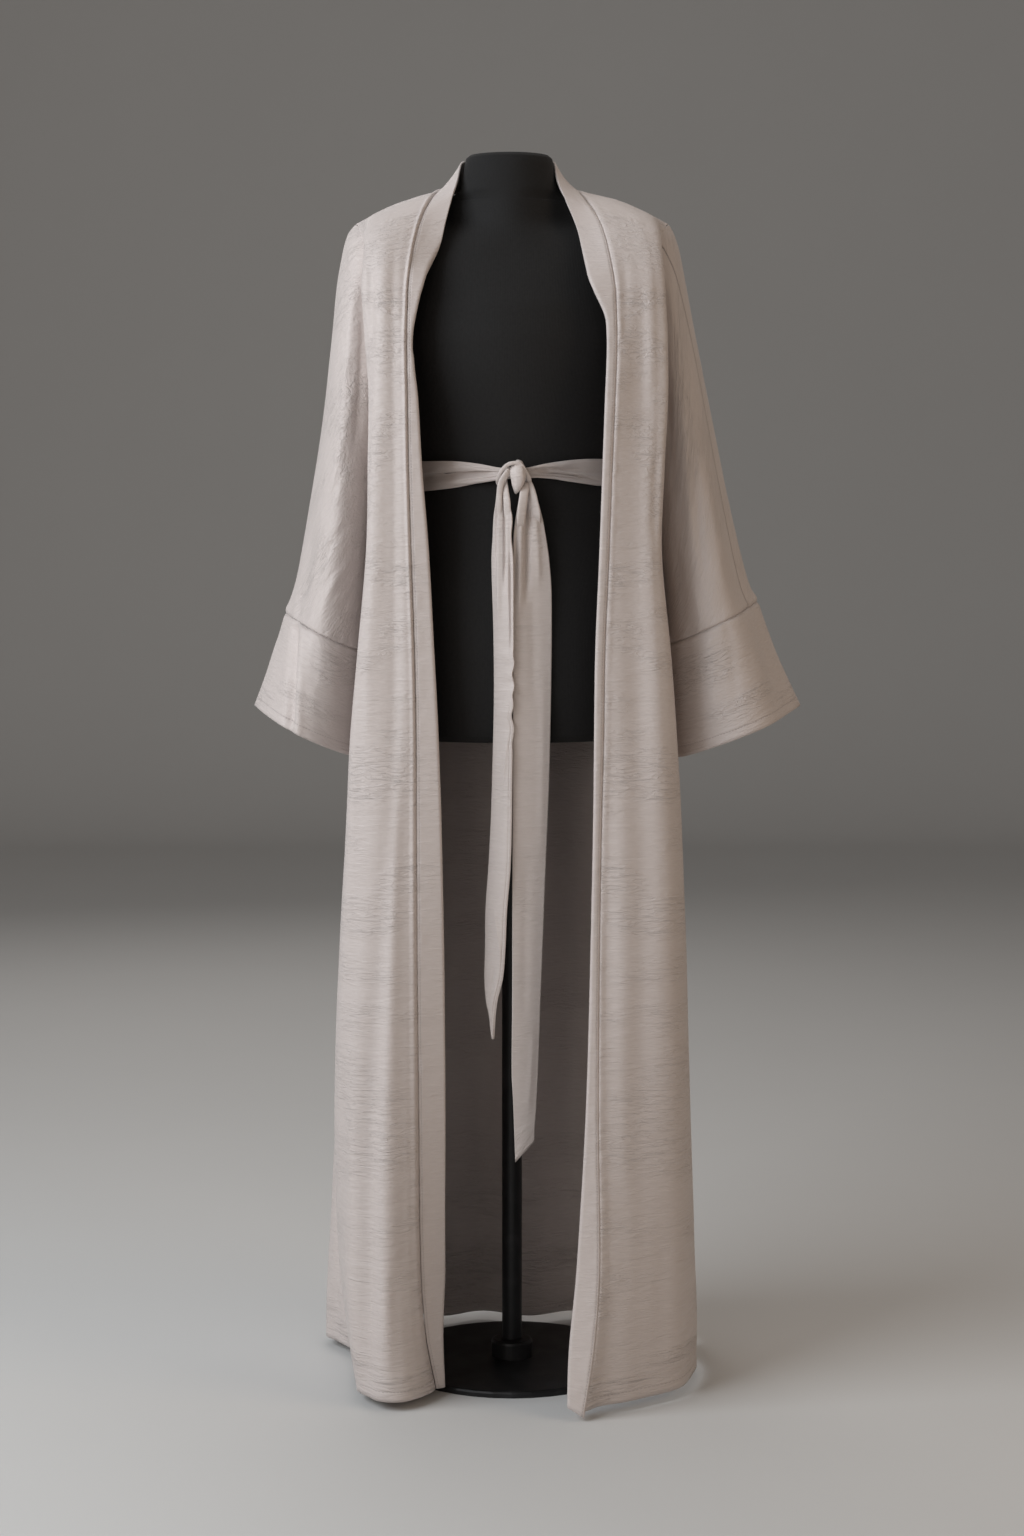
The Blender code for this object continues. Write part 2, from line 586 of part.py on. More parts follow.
def disc_object(name, radius, low, high, bevel, material, parent):
    bm = bmesh.new()
    bmesh.ops.create_cone(bm, cap_ends=True, segments=STAND_SEGMENTS, radius1=radius, radius2=radius, depth=high - low)
    bmesh.ops.translate(bm, verts=bm.verts[:], vec=(0, 0, (low + high) / 2))
    if bevel:
        rim = [e for e in bm.edges if all(v.co.z > high - 1e-6 for v in e.verts)]
        bmesh.ops.bevel(bm, geom=rim, offset=bevel, segments=2, profile=0.5, affect="EDGES", material=-1)
    return finish_object(name, bm, material, parent)


# ---- the cloak ----
def band_points(side, front):
    """Rows from the centre back round the neck and down the front; columns from the seam to the free edge."""
    table = RIGHT_FRONT if side < 0 else LEFT_FRONT
    stations = []
    for k in range(NECK_STATIONS):
        share = k / NECK_STATIONS
        seam = neckline_point(share)
        seam.x *= side
        lean = ease(share)
        reach = Vector((-side * SHOULDER_REACH * lean, -0.004 * (1 - lean), 0))
        rise = math.sqrt(BAND_WIDTH**2 - reach.length_squared)
        stations.append((seam, reach + Vector((0, 0, rise))))
    for row in front.points:
        seam = row[0]
        if seam.z > CAP_BOTTOM:
            fall = ease((SHOULDER_NECK.z - seam.z) / 0.025)
            low = ease((seam.z - CAP_BOTTOM) / (1.40 - CAP_BOTTOM))
            upper = SHOULDER_REACH + (CHEST_REACH - SHOULDER_REACH) * fall
            across = upper * low + read(table, CAP_BOTTOM, "reach") * (1 - low)
        else:
            across = read(table, seam.z, "reach")
        rise = read(BAND_RISE, seam.z, "rise")
        back = math.sqrt(max(BAND_WIDTH**2 - across**2 - rise**2, 0.0))
        stations.append((seam, Vector((-side * across, back, rise))))
    points = []
    for k, (seam, turn) in enumerate(stations):
        after, before = stations[min(k + 1, len(stations) - 1)][0], stations[max(k - 1, 0)][0]
        bow = (after - before).cross(turn).normalized() * BAND_BOW * side
        row = []
        for j in range(BAND_SEGMENTS + 1):
            share = j / BAND_SEGMENTS
            row.append(seam + turn * share + bow * math.sin(math.pi * share))
        points.append(row)
    if side > 0:
        for j, (before, point) in enumerate(zip(points[-2], points[-1])):
            drop = LEFT_TIP_DROP * (1 - j / BAND_SEGMENTS) - LEFT_CORNER_RISE * j / BAND_SEGMENTS
            point += (point - before) * (drop / (before.z - point.z))
    return points


def sleeve_ring(table, creases, t, angles):
    """Points of one sleeve ring on the +X side, angle 0 on the overarm and 180 under the arm."""
    over = Vector((read(table, t, "over_x"), SLEEVE_SHIFT_Y * min(t, 1), read(table, t, "over_z")))
    under = Vector((read(table, t, "under_x"), SLEEVE_SHIFT_Y * min(t, 1), read(table, t, "under_z")))
    depth = read(table, t, "depth")
    middle, half = (over + under) / 2, (over - under) / 2
    pointed = ease(t)
    out = half.normalized()
    ring = []
    for angle in angles:
        swell = abs(math.sin(angle)) ** (1 + 0.8 * pointed * math.cos(angle / 2) ** 4)
        across = Vector((0, -math.copysign(swell, math.sin(angle)) * depth, 0))
        point = middle + half * math.cos(angle) + across
        push = 0.0
        for crease in creases:
            away = (math.degrees(angle) - crease.angle + 180) % 360 - 180
            push += crease.depth * math.exp(-((away / crease.width) ** 2)) * ease((t - crease.starts) / 0.6)
        normal = (across.normalized() * abs(math.sin(angle)) + out * math.cos(angle)).normalized()
        ring.append(point + normal * push)
    return ring


def sleeve_points(side, loop):
    """Rings of the sleeve and of its cuff.  loop is the armhole, from the shoulder seam round the front."""
    table, creases = (RIGHT_SLEEVE, RIGHT_CREASES) if side < 0 else (LEFT_SLEEVE, LEFT_CREASES)
    middle = (SHOULDER_TIP.z + UNDERARM) / 2
    half = (SHOULDER_TIP.z - UNDERARM) / 2
    angles = []
    for k, point in enumerate(loop):
        angle = math.acos(min(max((point.z - middle) / half, -1), 1))
        angles.append(angle if k <= len(loop) // 2 else 2 * math.pi - angle)
    mirrored = [Vector((abs(p.x), p.y, p.z)) for p in loop]
    plain = sleeve_ring(table, creases, 0.0, angles)
    count = len(angles)
    even = [2 * math.pi * k / count for k in range(count)]
    rings = []
    steps = [(k / SLEEVE_ROWS) ** 1.35 for k in range(SLEEVE_ROWS + 1)]
    steps += [1 + k / CUFF_ROWS for k in range(1, CUFF_ROWS + 1)]
    for t in steps:
        spread = ease(t)
        turned = [a + (b - a) * spread for a, b in zip(angles, even)]
        ring = sleeve_ring(table, creases, t, turned)
        keep = max(0.0, 1 - t / ARMHOLE_BLEND) ** 2
        ring = [p + (a - b) * keep for p, a, b in zip(ring, mirrored, plain)]
        rings.append([Vector((p.x * side, p.y, p.z)) for p in ring])
    return rings[: SLEEVE_ROWS + 1], rings[SLEEVE_ROWS:]


def outwards(point):
    return Vector((point.x, point.y, 0))


def make_cloak(parent):
    cloth = "cloak_cloth"
    fronts = {
        -1: Cloth("front_right", front_points(-1), CLOTH, cloth, facing=outwards),
        1: Cloth("front_left", front_points(1), CLOTH, cloth, facing=outwards),
    }
    back = Cloth("back", back_points(), CLOTH, cloth, facing=outwards)
    pieces = [back, *fronts.values()]
    armhole_rows = CAP_ROWS + len(ARMHOLE_HEIGHTS)
    for side, word, back_edge in ((-1, "right", "start"), (1, "left", "end")):
        front = fronts[side]
        loop = [row[-1] for row in front.points[: armhole_rows + 1]]
        column = 0 if side < 0 else -1
        loop += [back.points[r][column] for r in range(armhole_rows - 1, 0, -1)]
        rings, cuff_rings = sleeve_points(side, loop)
        sleeve = Cloth("sleeve_" + word, rings, CLOTH, cloth, ring=True, facing=lambda p, s=side: p - sleeve_axis(s, p))
        cuff = Cloth("cuff_" + word, cuff_rings, CUFF_CLOTH, cloth, ring=True, facing=lambda p, s=side: p - sleeve_axis(s, p))
        band = Cloth("band_" + word, band_points(side, front), BAND_CLOTH, cloth, lift=0.0004, facing=band_facing)
        join(front, front.edge("end", armhole_rows), back, back.edge(back_edge, armhole_rows))
        join_shoulder(front, back, side)
        join_armhole(front, back, sleeve, side, armhole_rows)
        join(sleeve, sleeve.edge("bottom"), cuff, cuff.edge("top"))
        join_band(band, front, back, side)
        pieces += [sleeve, cuff, band]
    bands = [p for p in pieces if p.name.startswith("band")]
    join(bands[0], bands[0].edge("top"), bands[1], bands[1].edge("top"), 1.6 * SEAM_GAP)
    for piece in pieces:
        cloth_object(piece, parent)


def sleeve_axis(side, point):
    """Middle of the sleeve at a point's height, near enough to tell its outside."""
    share = (SHOULDER_TIP.z - point.z) / (SHOULDER_TIP.z - 0.77)
    return Vector((side * (0.175 + 0.085 * share), 0, point.z))


def band_facing(point):
    return Vector((point.x * 0.3, point.y, 0))


def join_shoulder(front, back, side):
    """The two top edges have their own columns, so each is pulled back from the seam by itself."""
    half = SEAM_GAP / 2
    for piece, edge in ((front, front.edge("top")), (back, back.edge("top"))):
        for r, c, i, j in edge:
            point = piece.points[r][c]
            if piece is back and (point.x * side <= 0 or abs(point.x) < SHOULDER_NECK.x - 1e-6):
                continue
            into = piece.points[i][j] - point
            into.z = 0
            piece.shift[r][c] += into.normalized() * half
            piece.normals[r][c] = shoulder_normal(point)


def shoulder_normal(point):
    """Square to the shoulder seam, upwards."""
    side = math.copysign(1, point.x)
    along = SHOULDER_TIP - SHOULDER_NECK
    return Vector((-along.z * side, 0, abs(along.x))).normalized()


def join_armhole(front, back, sleeve, side, rows):
    """The sleeve's first ring follows the front's edge down and the back's edge up."""
    ring = sleeve.edge("top")
    count = len(ring)
    join(front, front.edge("end", 0, rows + 1), sleeve, ring[: rows + 1])
    back_edge = back.edge("start" if side < 0 else "end", 0, rows)
    join(back, back_edge[1:], sleeve, [ring[count - k] for k in range(1, rows)])
    r, c, i, j = back_edge[0]
    back.shift[r][c] += (back.points[i][j] - back.points[r][c]).normalized() * SEAM_GAP
    back.normals[r][c] = sleeve.normals[0][0].copy()


def join_band(band, front, back, side):
    """Only the band is moved back from the neckline; the front's seam edge is parted from it as a pair."""
    neck_rows = NECK_STATIONS
    seam = band.edge("start")
    join(front, front.edge("start"), band, seam[neck_rows:], BAND_GAP)
    for r, c, i, j in seam[:neck_rows]:
        band.shift[r][c] += (band.points[i][j] - band.points[r][c]).normalized() * SEAM_GAP


# ---- the dress form and its stand ----
def shoulder_height(half):
    """Height of the form's shoulder under the cloak's at this half width."""
    share = (half - SHOULDER_NECK.x) / (SHOULDER_TIP.x - SHOULDER_NECK.x)
    fall = max(0.0, (half - 0.13) / (SHOULDER_TIP.x - 0.13))
    clear = NECK_CLEAR * ease((0.128 - half) / 0.023)
    return shoulder_point(share).z - CLOTH * 1.10 - SHOULDER_SEAT - TIP_DROP * fall**2 - clear


def form_levels():
    shoulders = []
    for half in SHOULDER_LEVELS:
        share = (0.168 - half) / (0.168 - 0.072)
        shoulders.append(Level(shoulder_height(half), half, -.0605 + .0045 * share, .080 - .027 * share))
    return FORM + shoulders + NECK


def form_ring(level):
    """An ellipse; above the chest it is the neck's round with the shoulders as narrower flanks."""
    flank = 1 - (1 - SHOULDER_FLANK) * ease((level.z - 1.385) / 0.035) * ease((level.half - 0.060) / 0.015)
    ring = []
    for k in range(FORM_SEGMENTS):
        angle = 2 * math.pi * k / FORM_SEGMENTS
        depth = level.back if math.sin(angle) > 0 else -level.front
        x = level.half * math.cos(angle)
        core = math.copysign(max(0.0, 1 - (x / NECK_CORE) ** 2) ** 1.2, math.sin(angle))
        ring.append(Vector((x, depth * (flank * math.sin(angle) + (1 - flank) * core), level.z)))
    return ring


def on_form(k, height):
    """The form's surface at one of its segments' corners, straight between its levels."""
    levels = form_levels()
    for low, high in zip(levels, levels[1:]):
        if low.z <= height <= high.z:
            share = (height - low.z) / (high.z - low.z)
            return form_ring(low)[k].lerp(form_ring(high)[k], share)
    raise ValueError(height)


def make_form(parent):
    loft_object("form_torso", [form_ring(level) for level in reversed(form_levels())], "form_jersey", parent)
    torso_bottom = FORM[0].z
    collar_low = torso_bottom - SEAM_GAP - COLLAR_HEIGHT
    disc_object("form_collar", COLLAR_RADIUS, collar_low, torso_bottom - SEAM_GAP, 0, "stand_metal", parent)
    disc_object("stand_pole", POLE_RADIUS, BASE_HEIGHT + BOSS_HEIGHT + 2 * SEAM_GAP, collar_low - SEAM_GAP, 0, "stand_metal", parent)
    disc_object("stand_boss", BOSS_RADIUS, BASE_HEIGHT + SEAM_GAP, BASE_HEIGHT + BOSS_HEIGHT + SEAM_GAP, 0.004, "stand_metal", parent)
    disc_object("stand_base", BASE_RADIUS, 0, BASE_HEIGHT, 0.003, "stand_metal", parent)


# ---- the belt ----
def belt_loop_points():
    """Rows down the belt, columns round the form; it narrows towards the knot."""
    columns = []
    for k in range(FORM_SEGMENTS):
        here = on_form(k, KNOT.z)
        away = abs(here.x - KNOT.x) if here.y < 0 else PINCH_WIDTH
        pinch = 1 - ease(away / PINCH_WIDTH)
        top = BELT_TOP + (BELT_PINCH_TOP - BELT_TOP) * pinch
        bottom = BELT_BOTTOM + (BELT_PINCH_BOTTOM - BELT_BOTTOM) * pinch
        column = []
        for r in range(BELT_ROWS):
            height = top + (bottom - top) * r / (BELT_ROWS - 1)
            point = on_form(k, height)
            out = Vector((point.x, point.y, 0)).normalized()
            ply = BELT_PLY * (r % 2)
            column.append(point + out * (BELT_LIFT + BELT_CLOTH + ply))
        columns.append(column)
    return [[column[r] for column in columns] for r in range(BELT_ROWS)]


def knot_object(parent):
    """A rounded lump with the belt's turns as shallow swells."""
    bm = bmesh.new()
    bmesh.ops.create_uvsphere(bm, u_segments=20, v_segments=12, radius=1)
    for vert in bm.verts:
        x, y, z = vert.co
        turn = math.cos(4.2 * (x * 0.8 + z * 0.6) + 0.6)
        swell = 1 + 0.06 * turn - 0.05 * abs(z)
        deep = 0.8 * y**0.45 if y > 0 else y
        vert.co = KNOT + Vector((x * KNOT_HALF.x, deep * KNOT_HALF.y, z * KNOT_HALF.z)) * swell
    return finish_object("belt_knot", bm, "belt_cloth", parent)


def end_points(table, slant):
    top, bottom = table[0].z, table[-1].z
    rows = []
    for k in range(END_ROWS + 1):
        height = top + (bottom - top) * k / END_ROWS
        left, right = read(table, height, "left"), read(table, height, "right")
        left_y, right_y = read(table, height, "left_y"), read(table, height, "right_y")
        row = []
        for j in range(END_COLUMNS + 1):
            share = j / END_COLUMNS
            low = ease((k / END_ROWS - 0.9) / 0.1)
            bow = END_BOW * ease(3 * k / END_ROWS)
            row.append(
                Vector(
                    (
                        left + (right - left) * share,
                        left_y + (right_y - left_y) * share - bow * math.sin(math.pi * share),
                        height + slant * share * low,
                    )
                )
            )
        rows.append(row)
    return rows


def make_belt(parent):
    def forwards(point):
        return Vector((0, -1, 0))

    loop = Cloth("belt_loop", belt_loop_points(), BELT_CLOTH, "belt_cloth", ring=True, facing=outwards)
    right = Cloth("belt_end_right", end_points(RIGHT_END, 0.0), BELT_CLOTH, "belt_cloth", facing=forwards)
    left = Cloth("belt_end_left", end_points(LEFT_END, LEFT_END_SLANT), BELT_CLOTH, "belt_cloth", facing=forwards)
    for piece in (loop, right, left):
        cloth_object(piece, parent)
    knot_object(parent)


def main():
    for old in list(bpy.data.objects):
        bpy.data.objects.remove(old)
    abaya = bpy.data.objects.new("abaya_on_form", None)
    bpy.context.scene.collection.objects.link(abaya)
    make_cloak(abaya)
    make_belt(abaya)
    make_form(abaya)


main()
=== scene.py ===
"""Dressing of the open abaya cloak, its tie belt and the limbless form that carries it.

Metres, +Z up.  The garment faces -Y; the wearer's right is at -X.  Each cloth piece is a grid laid
over the same plan tables as its solid, with finer rows and columns, and then creased by folds that
are given one by one.
"""

import math
from collections import namedtuple

import bmesh
import bpy
import numpy as np
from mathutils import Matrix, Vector, noise


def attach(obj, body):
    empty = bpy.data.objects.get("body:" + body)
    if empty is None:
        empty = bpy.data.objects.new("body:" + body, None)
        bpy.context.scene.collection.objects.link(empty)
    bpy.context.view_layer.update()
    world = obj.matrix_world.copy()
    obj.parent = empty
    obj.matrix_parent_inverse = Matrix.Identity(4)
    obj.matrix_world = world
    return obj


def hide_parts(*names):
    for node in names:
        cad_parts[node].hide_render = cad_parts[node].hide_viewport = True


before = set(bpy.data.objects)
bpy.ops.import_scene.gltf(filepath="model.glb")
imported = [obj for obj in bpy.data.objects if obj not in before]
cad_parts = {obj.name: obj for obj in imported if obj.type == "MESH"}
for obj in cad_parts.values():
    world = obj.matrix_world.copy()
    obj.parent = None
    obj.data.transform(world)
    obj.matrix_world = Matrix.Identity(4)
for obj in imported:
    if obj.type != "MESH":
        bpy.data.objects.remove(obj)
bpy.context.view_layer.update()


def rows_of(kind, rows):
    """A table: rows of numbers under the names of their columns."""
    return [kind(*row) for row in rows]


RIGHT, LEFT = -1, 1        # the wearer's sides, as signs of x
SIDES = ((RIGHT, "right"), (LEFT, "left"))

# ---- cloth and seams ----
CLOTH = 0.0015             # wall of the single cloth
BAND_CLOTH = 0.0024        # folded front band
CUFF_CLOTH = 0.0018        # hemmed cuff
BELT_CLOTH = 0.0020        # belt, sewn double
BAND_WIDTH = 0.034         # front band, seam to free edge
HEM_FOLD = 0.012           # turned hem, up to its row of stitches
SEAM_ROLL = 0.0015         # how far the cloth rolls in towards a seam
SEAM_ROLL_WIDTH = 0.0015
SEAM_STILL = 0.010         # creases fade out this near a seam
BEAD = {RIGHT: 0.0019, LEFT: 0.0004}    # roll of the turned seam allowance beside each front's seam
BEAD_PLACE = 0.0058
BEAD_WIDTH = 0.0036
BEAD_WAVER = 0.25          # share by which that roll thickens and thins
BEAD_PITCH = 0.16
PUCKER = 0.0010            # waver of the cloth beside a seam
CUFF_PUCKER = 0.0018
PUCKER_PLACE = 0.006
PUCKER_WIDTH = 0.005
PUCKER_PITCH = 0.013
BAND_ROW = 0.0030          # row of stitches along the band, beside its seam
OVERARM_ROW = 0.040        # seam beside the left overarm
PLAIN_GROOVE = 0.35        # depth in millimetres to which a row of stitches draws the cloth in
SEAM_GROOVE = 1.5          # and to which the overarm seam does
SHOULDER_SWELL = 0.0036    # roundness of the cloth over the shoulder's tip
SWELL_REACH = 0.030
TIP_CALM = 0.85            # share of the seams' roll that is lost at the shoulder's tip
TIP_REACH = 0.035
UNEVEN_PITCH = (0.045, 0.11)    # of the soft unevenness, across and up the cloth
CREASE_TAPER = 0.3         # share of a crease's length over which each of its ends fades out
CREASE_TURN = 0.25         # a crease is whole where the cloth faces its side at least this squarely
HANG_SLACK = 0.001         # a long fold ends this far below its last row

# ---- the cloak's main lines ----
SHOULDER_NECK = np.array((0.080, 0.008, 1.4560))    # inner end of the shoulder seam
SHOULDER_TIP = np.array((0.188, 0.004, 1.4110))     # outer end, at the armhole
SHOULDER_BOW = 0.0062
SEAM_BOW = {RIGHT: 0.0045, LEFT: 0.0015}    # how far the band's seam swings out over the shoulder
NECK_DEPTH = 0.056
NECK_DROP = 0.0060
CAP_BOTTOM = 1.33          # below this height the panels hang free
UNDERARM = 1.12
HEM = 0.012
ARMHOLE_HALF_DEPTH = 0.057
ARMHOLE_MIDDLE = (SHOULDER_TIP[2] + UNDERARM) / 2
ARMHOLE_HALF = (SHOULDER_TIP[2] - UNDERARM) / 2
CAP_ROWS = 26
ARMHOLE_ROWS = 40
SKIRT_ROWS = 216
FRONT_COLUMNS = 96
BACK_COLUMNS = 170
FRONT_CLOSENESS = 0.78     # how much closer the columns lie beside a seam
BACK_CLOSENESS = 0.6
FRONT_CAP = (0.45, -0.35)    # how straight a front falls from the shoulder, and its change outwards
SHOULDER_END = 0.30        # share of the back's width that each shoulder seam takes up
BACK_CAP_SHOULDER = (0.12, 0.3)    # the same for the back, under its shoulder seams
BACK_CAP_NECK = (0.21, 0.34)       # and under its neckline

# ---- front panels in plan: the seam with the band, a point near it, the middle, the outer fold,
# ---- the tuck behind that fold and the side seam.  "round" swells the stretch between the middle
# ---- and the outer fold, and "reach" turns the band.
Section = namedtuple(
    "Section",
    "z seam_x seam_y near_x near_y front_x front_y round "
    "ridge_x ridge_y tuck_x tuck_y side_x side_y reach",
)
FRONT_PLACES = (0.0, 0.14, 0.40, 0.58, 0.76, 0.88, 1.0)
RIGHT_FRONT = rows_of(Section, [
    (1.33, .1225, -.110, .131, -.1115, .150, -.1115, .005, .1785, -.090, .174, -.066, .171, -.050, .0155),
    (1.27, .1236, -.1235, .133, -.1245, .150, -.123, .0055, .1745, -.0994, .171, -.072, .166, -.057, .0064),
    (1.20, .1226, -.1305, .132, -.1315, .150, -.1295, .0075, .170, -.1051, .167, -.068, .163, -.047, .0115),
    (1.12, .1215, -.134, .131, -.135, .149, -.133, .009, .1705, -.109, .164, -.058, .160, .000, .015),
    (1.02, .1187, -.1365, .129, -.138, .148, -.1365, .009, .173, -.111, .167, -.062, .161, .000, .020),
    (0.90, .115, -.1395, .126, -.1415, .149, -.1405, .010, .184, -.113, .175, -.066, .168, .000, .0225),
    (0.80, .1133, -.1425, .125, -.145, .150, -.145, .011, .1925, -.113, .183, -.068, .172, .000, .0255),
    (0.70, .113, -.1455, .126, -.1475, .152, -.150, .011, .1972, -.113, .192, -.062, .185, .000, .0285),
    (0.55, .1125, -.151, .127, -.155, .155, -.1575, .014, .2055, -.111, .203, -.055, .199, .002, .031),
    (0.35, .111, -.155, .127, -.165, .157, -.169, .018, .214, -.107, .210, -.050, .205, .005, .0315),
    (0.17, .109, -.156, .125, -.174, .157, -.184, .0178, .212, -.1037, .208, -.045, .203, .008, .029),
    (0.08, .103, -.156, .120, -.180, .150, -.1945, .018, .203, -.112, .201, -.045, .200, .008, .020),
    (HEM, .091, -.150, .110, -.183, .142, -.2015, .017, .192, -.127, .195, -.055, .199, .006, .010),
])
LEFT_FRONT = rows_of(Section, [
    (1.33, .1222, -.1085, .131, -.1086, .152, -.1045, .0035, .1815, -.0915, .175, -.066, .171, -.050, .0135),
    (1.27, .1238, -.1215, .132, -.1205, .152, -.1133, .004, .1842, -.1015, .173, -.072, .166, -.057, .0115),
    (1.20, .1215, -.129, .130, -.128, .152, -.1193, .004, .185, -.1055, .169, -.068, .163, -.047, .0112),
    (1.12, .1182, -.1335, .127, -.1325, .150, -.127, .0055, .181, -.108, .165, -.058, .160, .000, .0108),
    (1.02, .1148, -.1365, .124, -.1359, .149, -.1326, .0075, .1782, -.1095, .167, -.062, .161, .000, .0108),
    (0.90, .110, -.1395, .120, -.1389, .149, -.1377, .0095, .1895, -.1105, .176, -.066, .168, .000, .0106),
    (0.80, .1088, -.1432, .119, -.1426, .150, -.143, .0115, .1972, -.1095, .184, -.068, .172, .000, .0106),
    (0.70, .1065, -.1475, .117, -.1471, .152, -.1492, .0135, .2035, -.105, .194, -.062, .186, .000, .0095),
    (0.55, .1043, -.1555, .115, -.1535, .154, -.156, .0145, .210, -.103, .206, -.055, .201, .002, .010),
    (0.35, .103, -.175, .115, -.1705, .156, -.165, .016, .2165, -.098, .213, -.050, .208, .004, .015),
    (0.17, .104, -.203, .118, -.193, .153, -.179, .0166, .2232, -.092, .221, -.045, .214, .006, .027),
    (0.08, .097, -.221, .112, -.206, .150, -.187, .018, .2262, -.088, .226, -.040, .218, .006, .029),
    (HEM, .086, -.237, .104, -.216, .149, -.1915, .018, .224, -.086, .230, -.035, .220, .008, .021),
])

# ---- back panel in plan, one row for each height; the two ridges differ a little ----
Back = namedtuple("Back", "z tuck_x tuck_y right_x left_x ridge_y round mid_x mid_y centre_y")
BACK_PLACES = (0.0, 0.06, 0.14, 0.225, 0.33, 0.5)
BACK = rows_of(Back, [
    (1.33, .174, .066, .1780, .1790, .086, .004, .110, .112, .116),
    (1.27, .171, .072, .1770, .1790, .092, .004, .110, .118, .122),
    (1.20, .167, .068, .1750, .1780, .094, .004, .110, .118, .121),
    (1.12, .164, .058, .1750, .1760, .094, .004, .110, .117, .119),
    (1.02, .167, .062, .1760, .1770, .096, .004, .110, .121, .123),
    (0.90, .175, .066, .1820, .1840, .097, .005, .112, .130, .133),
    (0.80, .182, .068, .1880, .1900, .097, .006, .114, .135, .138),
    (0.70, .190, .064, .1950, .1970, .096, .008, .116, .139, .142),
    (0.55, .202, .060, .2050, .2080, .094, .010, .120, .144, .148),
    (0.35, .212, .056, .2190, .2190, .090, .013, .124, .151, .156),
    (0.17, .218, .050, .2310, .2270, .084, .018, .128, .158, .163),
    (0.08, .220, .045, .2365, .2300, .080, .021, .130, .162, .167),
    (HEM, .221, .042, .2385, .2310, .078, .023, .132, .166, .171),
])

# ---- hanging folds: where they lie across a panel at the top and at the hem, how wide and deep,
# ---- the height at which they start and the share of the depth that reaches the hem ----
FOLD_GROWTH = 1.5          # a fold is whole once it has fallen its length divided by this
FOLD_CHANGE = 0.30         # height below which its depth changes towards the hem
FOLD_MARGIN = 0.10         # folds fade out this near a panel's sides, as a share of its width
PLAN_STEP = 0.004          # share of the width over which a panel's direction is read
Fold = namedtuple("Fold", "top_place hem_place width depth starts hem_share")
RIGHT_FOLDS = rows_of(Fold, [
    (0.34, 0.72, 0.09, -.004, 1.40, 0.5),
    (0.62, 0.88, 0.08, .002, 1.30, 0.3),
    (0.12, 0.54, 0.10, .004, 1.05, 0.7),
])
LEFT_FOLDS = rows_of(Fold, [
    (0.20, 0.30, 0.08, .001, 1.10, 0.4),
    (0.37, 0.47, 0.09, -.003, 1.05, 0.4),
    (0.64, 0.68, 0.09, -.001, 1.25, 0.4),
])
BACK_FOLDS = rows_of(Fold, [
    (0.25, 0.27, 0.035, -.009, 1.22, 1.0),
    (0.31, 0.325, 0.035, .010, 1.15, 1.0),
    (0.38, 0.385, 0.038, -.013, 1.20, 1.0),
    (0.455, 0.45, 0.040, .012, 1.10, 1.0),
    (0.53, 0.53, 0.040, -.012, 1.20, 1.0),
    (0.61, 0.60, 0.040, .013, 1.10, 1.0),
    (0.68, 0.67, 0.035, -.011, 1.20, 1.0),
    (0.745, 0.73, 0.035, .008, 1.15, 1.0),
])

# ---- sleeves: the overarm line, the underarm line and the half depth, down to the cuff's hem ----
Arm = namedtuple("Arm", "t over_x over_z under_x under_z depth")
RIGHT_SLEEVE = rows_of(Arm, [
    (0.00, .1880, 1.4110, .1604, 1.1200, .057),
    (0.04, .1975, 1.3990, .1622, 1.1120, .060),
    (0.09, .2053, 1.3780, .1645, 1.1010, .063),
    (0.18, .2128, 1.3420, .1680, 1.0800, .066),
    (0.32, .2193, 1.2780, .1725, 1.0480, .070),
    (0.50, .2310, 1.1800, .1765, 1.0060, .074),
    (0.70, .2480, 1.0750, .1800, 0.9620, .078),
    (0.88, .2650, 0.9850, .1820, 0.9240, .081),
    (1.00, .2790, 0.9430, .1825, 0.8970, .083),
    (1.45, .2960, 0.8870, .1850, 0.8400, .091),
    (2.00, .3180, 0.8290, .1900, 0.7680, .098),
])
LEFT_SLEEVE = rows_of(Arm, [
    (0.00, .1880, 1.4110, .1604, 1.1200, .057),
    (0.04, .1955, 1.3980, .1622, 1.1120, .060),
    (0.09, .2035, 1.3780, .1645, 1.1010, .063),
    (0.18, .2115, 1.3420, .1690, 1.0800, .066),
    (0.32, .2240, 1.2780, .1750, 1.0500, .070),
    (0.50, .2440, 1.1800, .1820, 1.0100, .074),
    (0.70, .2665, 1.0750, .1880, 0.9660, .079),
    (0.88, .2890, 0.9860, .1890, 0.9300, .083),
    (1.00, .3020, 0.9570, .1885, 0.9050, .085),
    (1.45, .3260, 0.8930, .1920, 0.8450, .093),
    (2.00, .3560, 0.8290, .1980, 0.7660, .100),
])
SLEEVE_SHIFT_Y = 0.004     # the sleeves hang a little behind the shoulder seam
ARMHOLE_BLEND = 0.45       # share of the sleeve in which the armhole's own outline fades out
OVERARM_CLOSENESS = 0.8    # how much closer than an oval the sleeve lies over the arm
INNER_FULLNESS = 0.20      # and how much fuller it hangs beside the body
INNER_GROWTH = 1.5         # how soon down the sleeve that is whole
SLEEVE_CLOSENESS = 1.35    # the rings lie closer together by the armhole
HOLLOW_GROWTH = 0.6        # share of the sleeve over which a hollow deepens
SLEEVE_ROWS = 96
CUFF_ROWS = 34
Hollow = namedtuple("Hollow", "angle width depth starts")
RIGHT_HOLLOWS = rows_of(Hollow, [
    (58, 24, -.005, 0.35),
    (95, 26, .003, 0.20),
    (285, 30, -.008, 0.40),
])
LEFT_HOLLOWS = rows_of(Hollow, [
    (40, 16, -.004, 0.30),
    (120, 26, -.002, 0.10),
    (290, 30, -.008, 0.40),
])

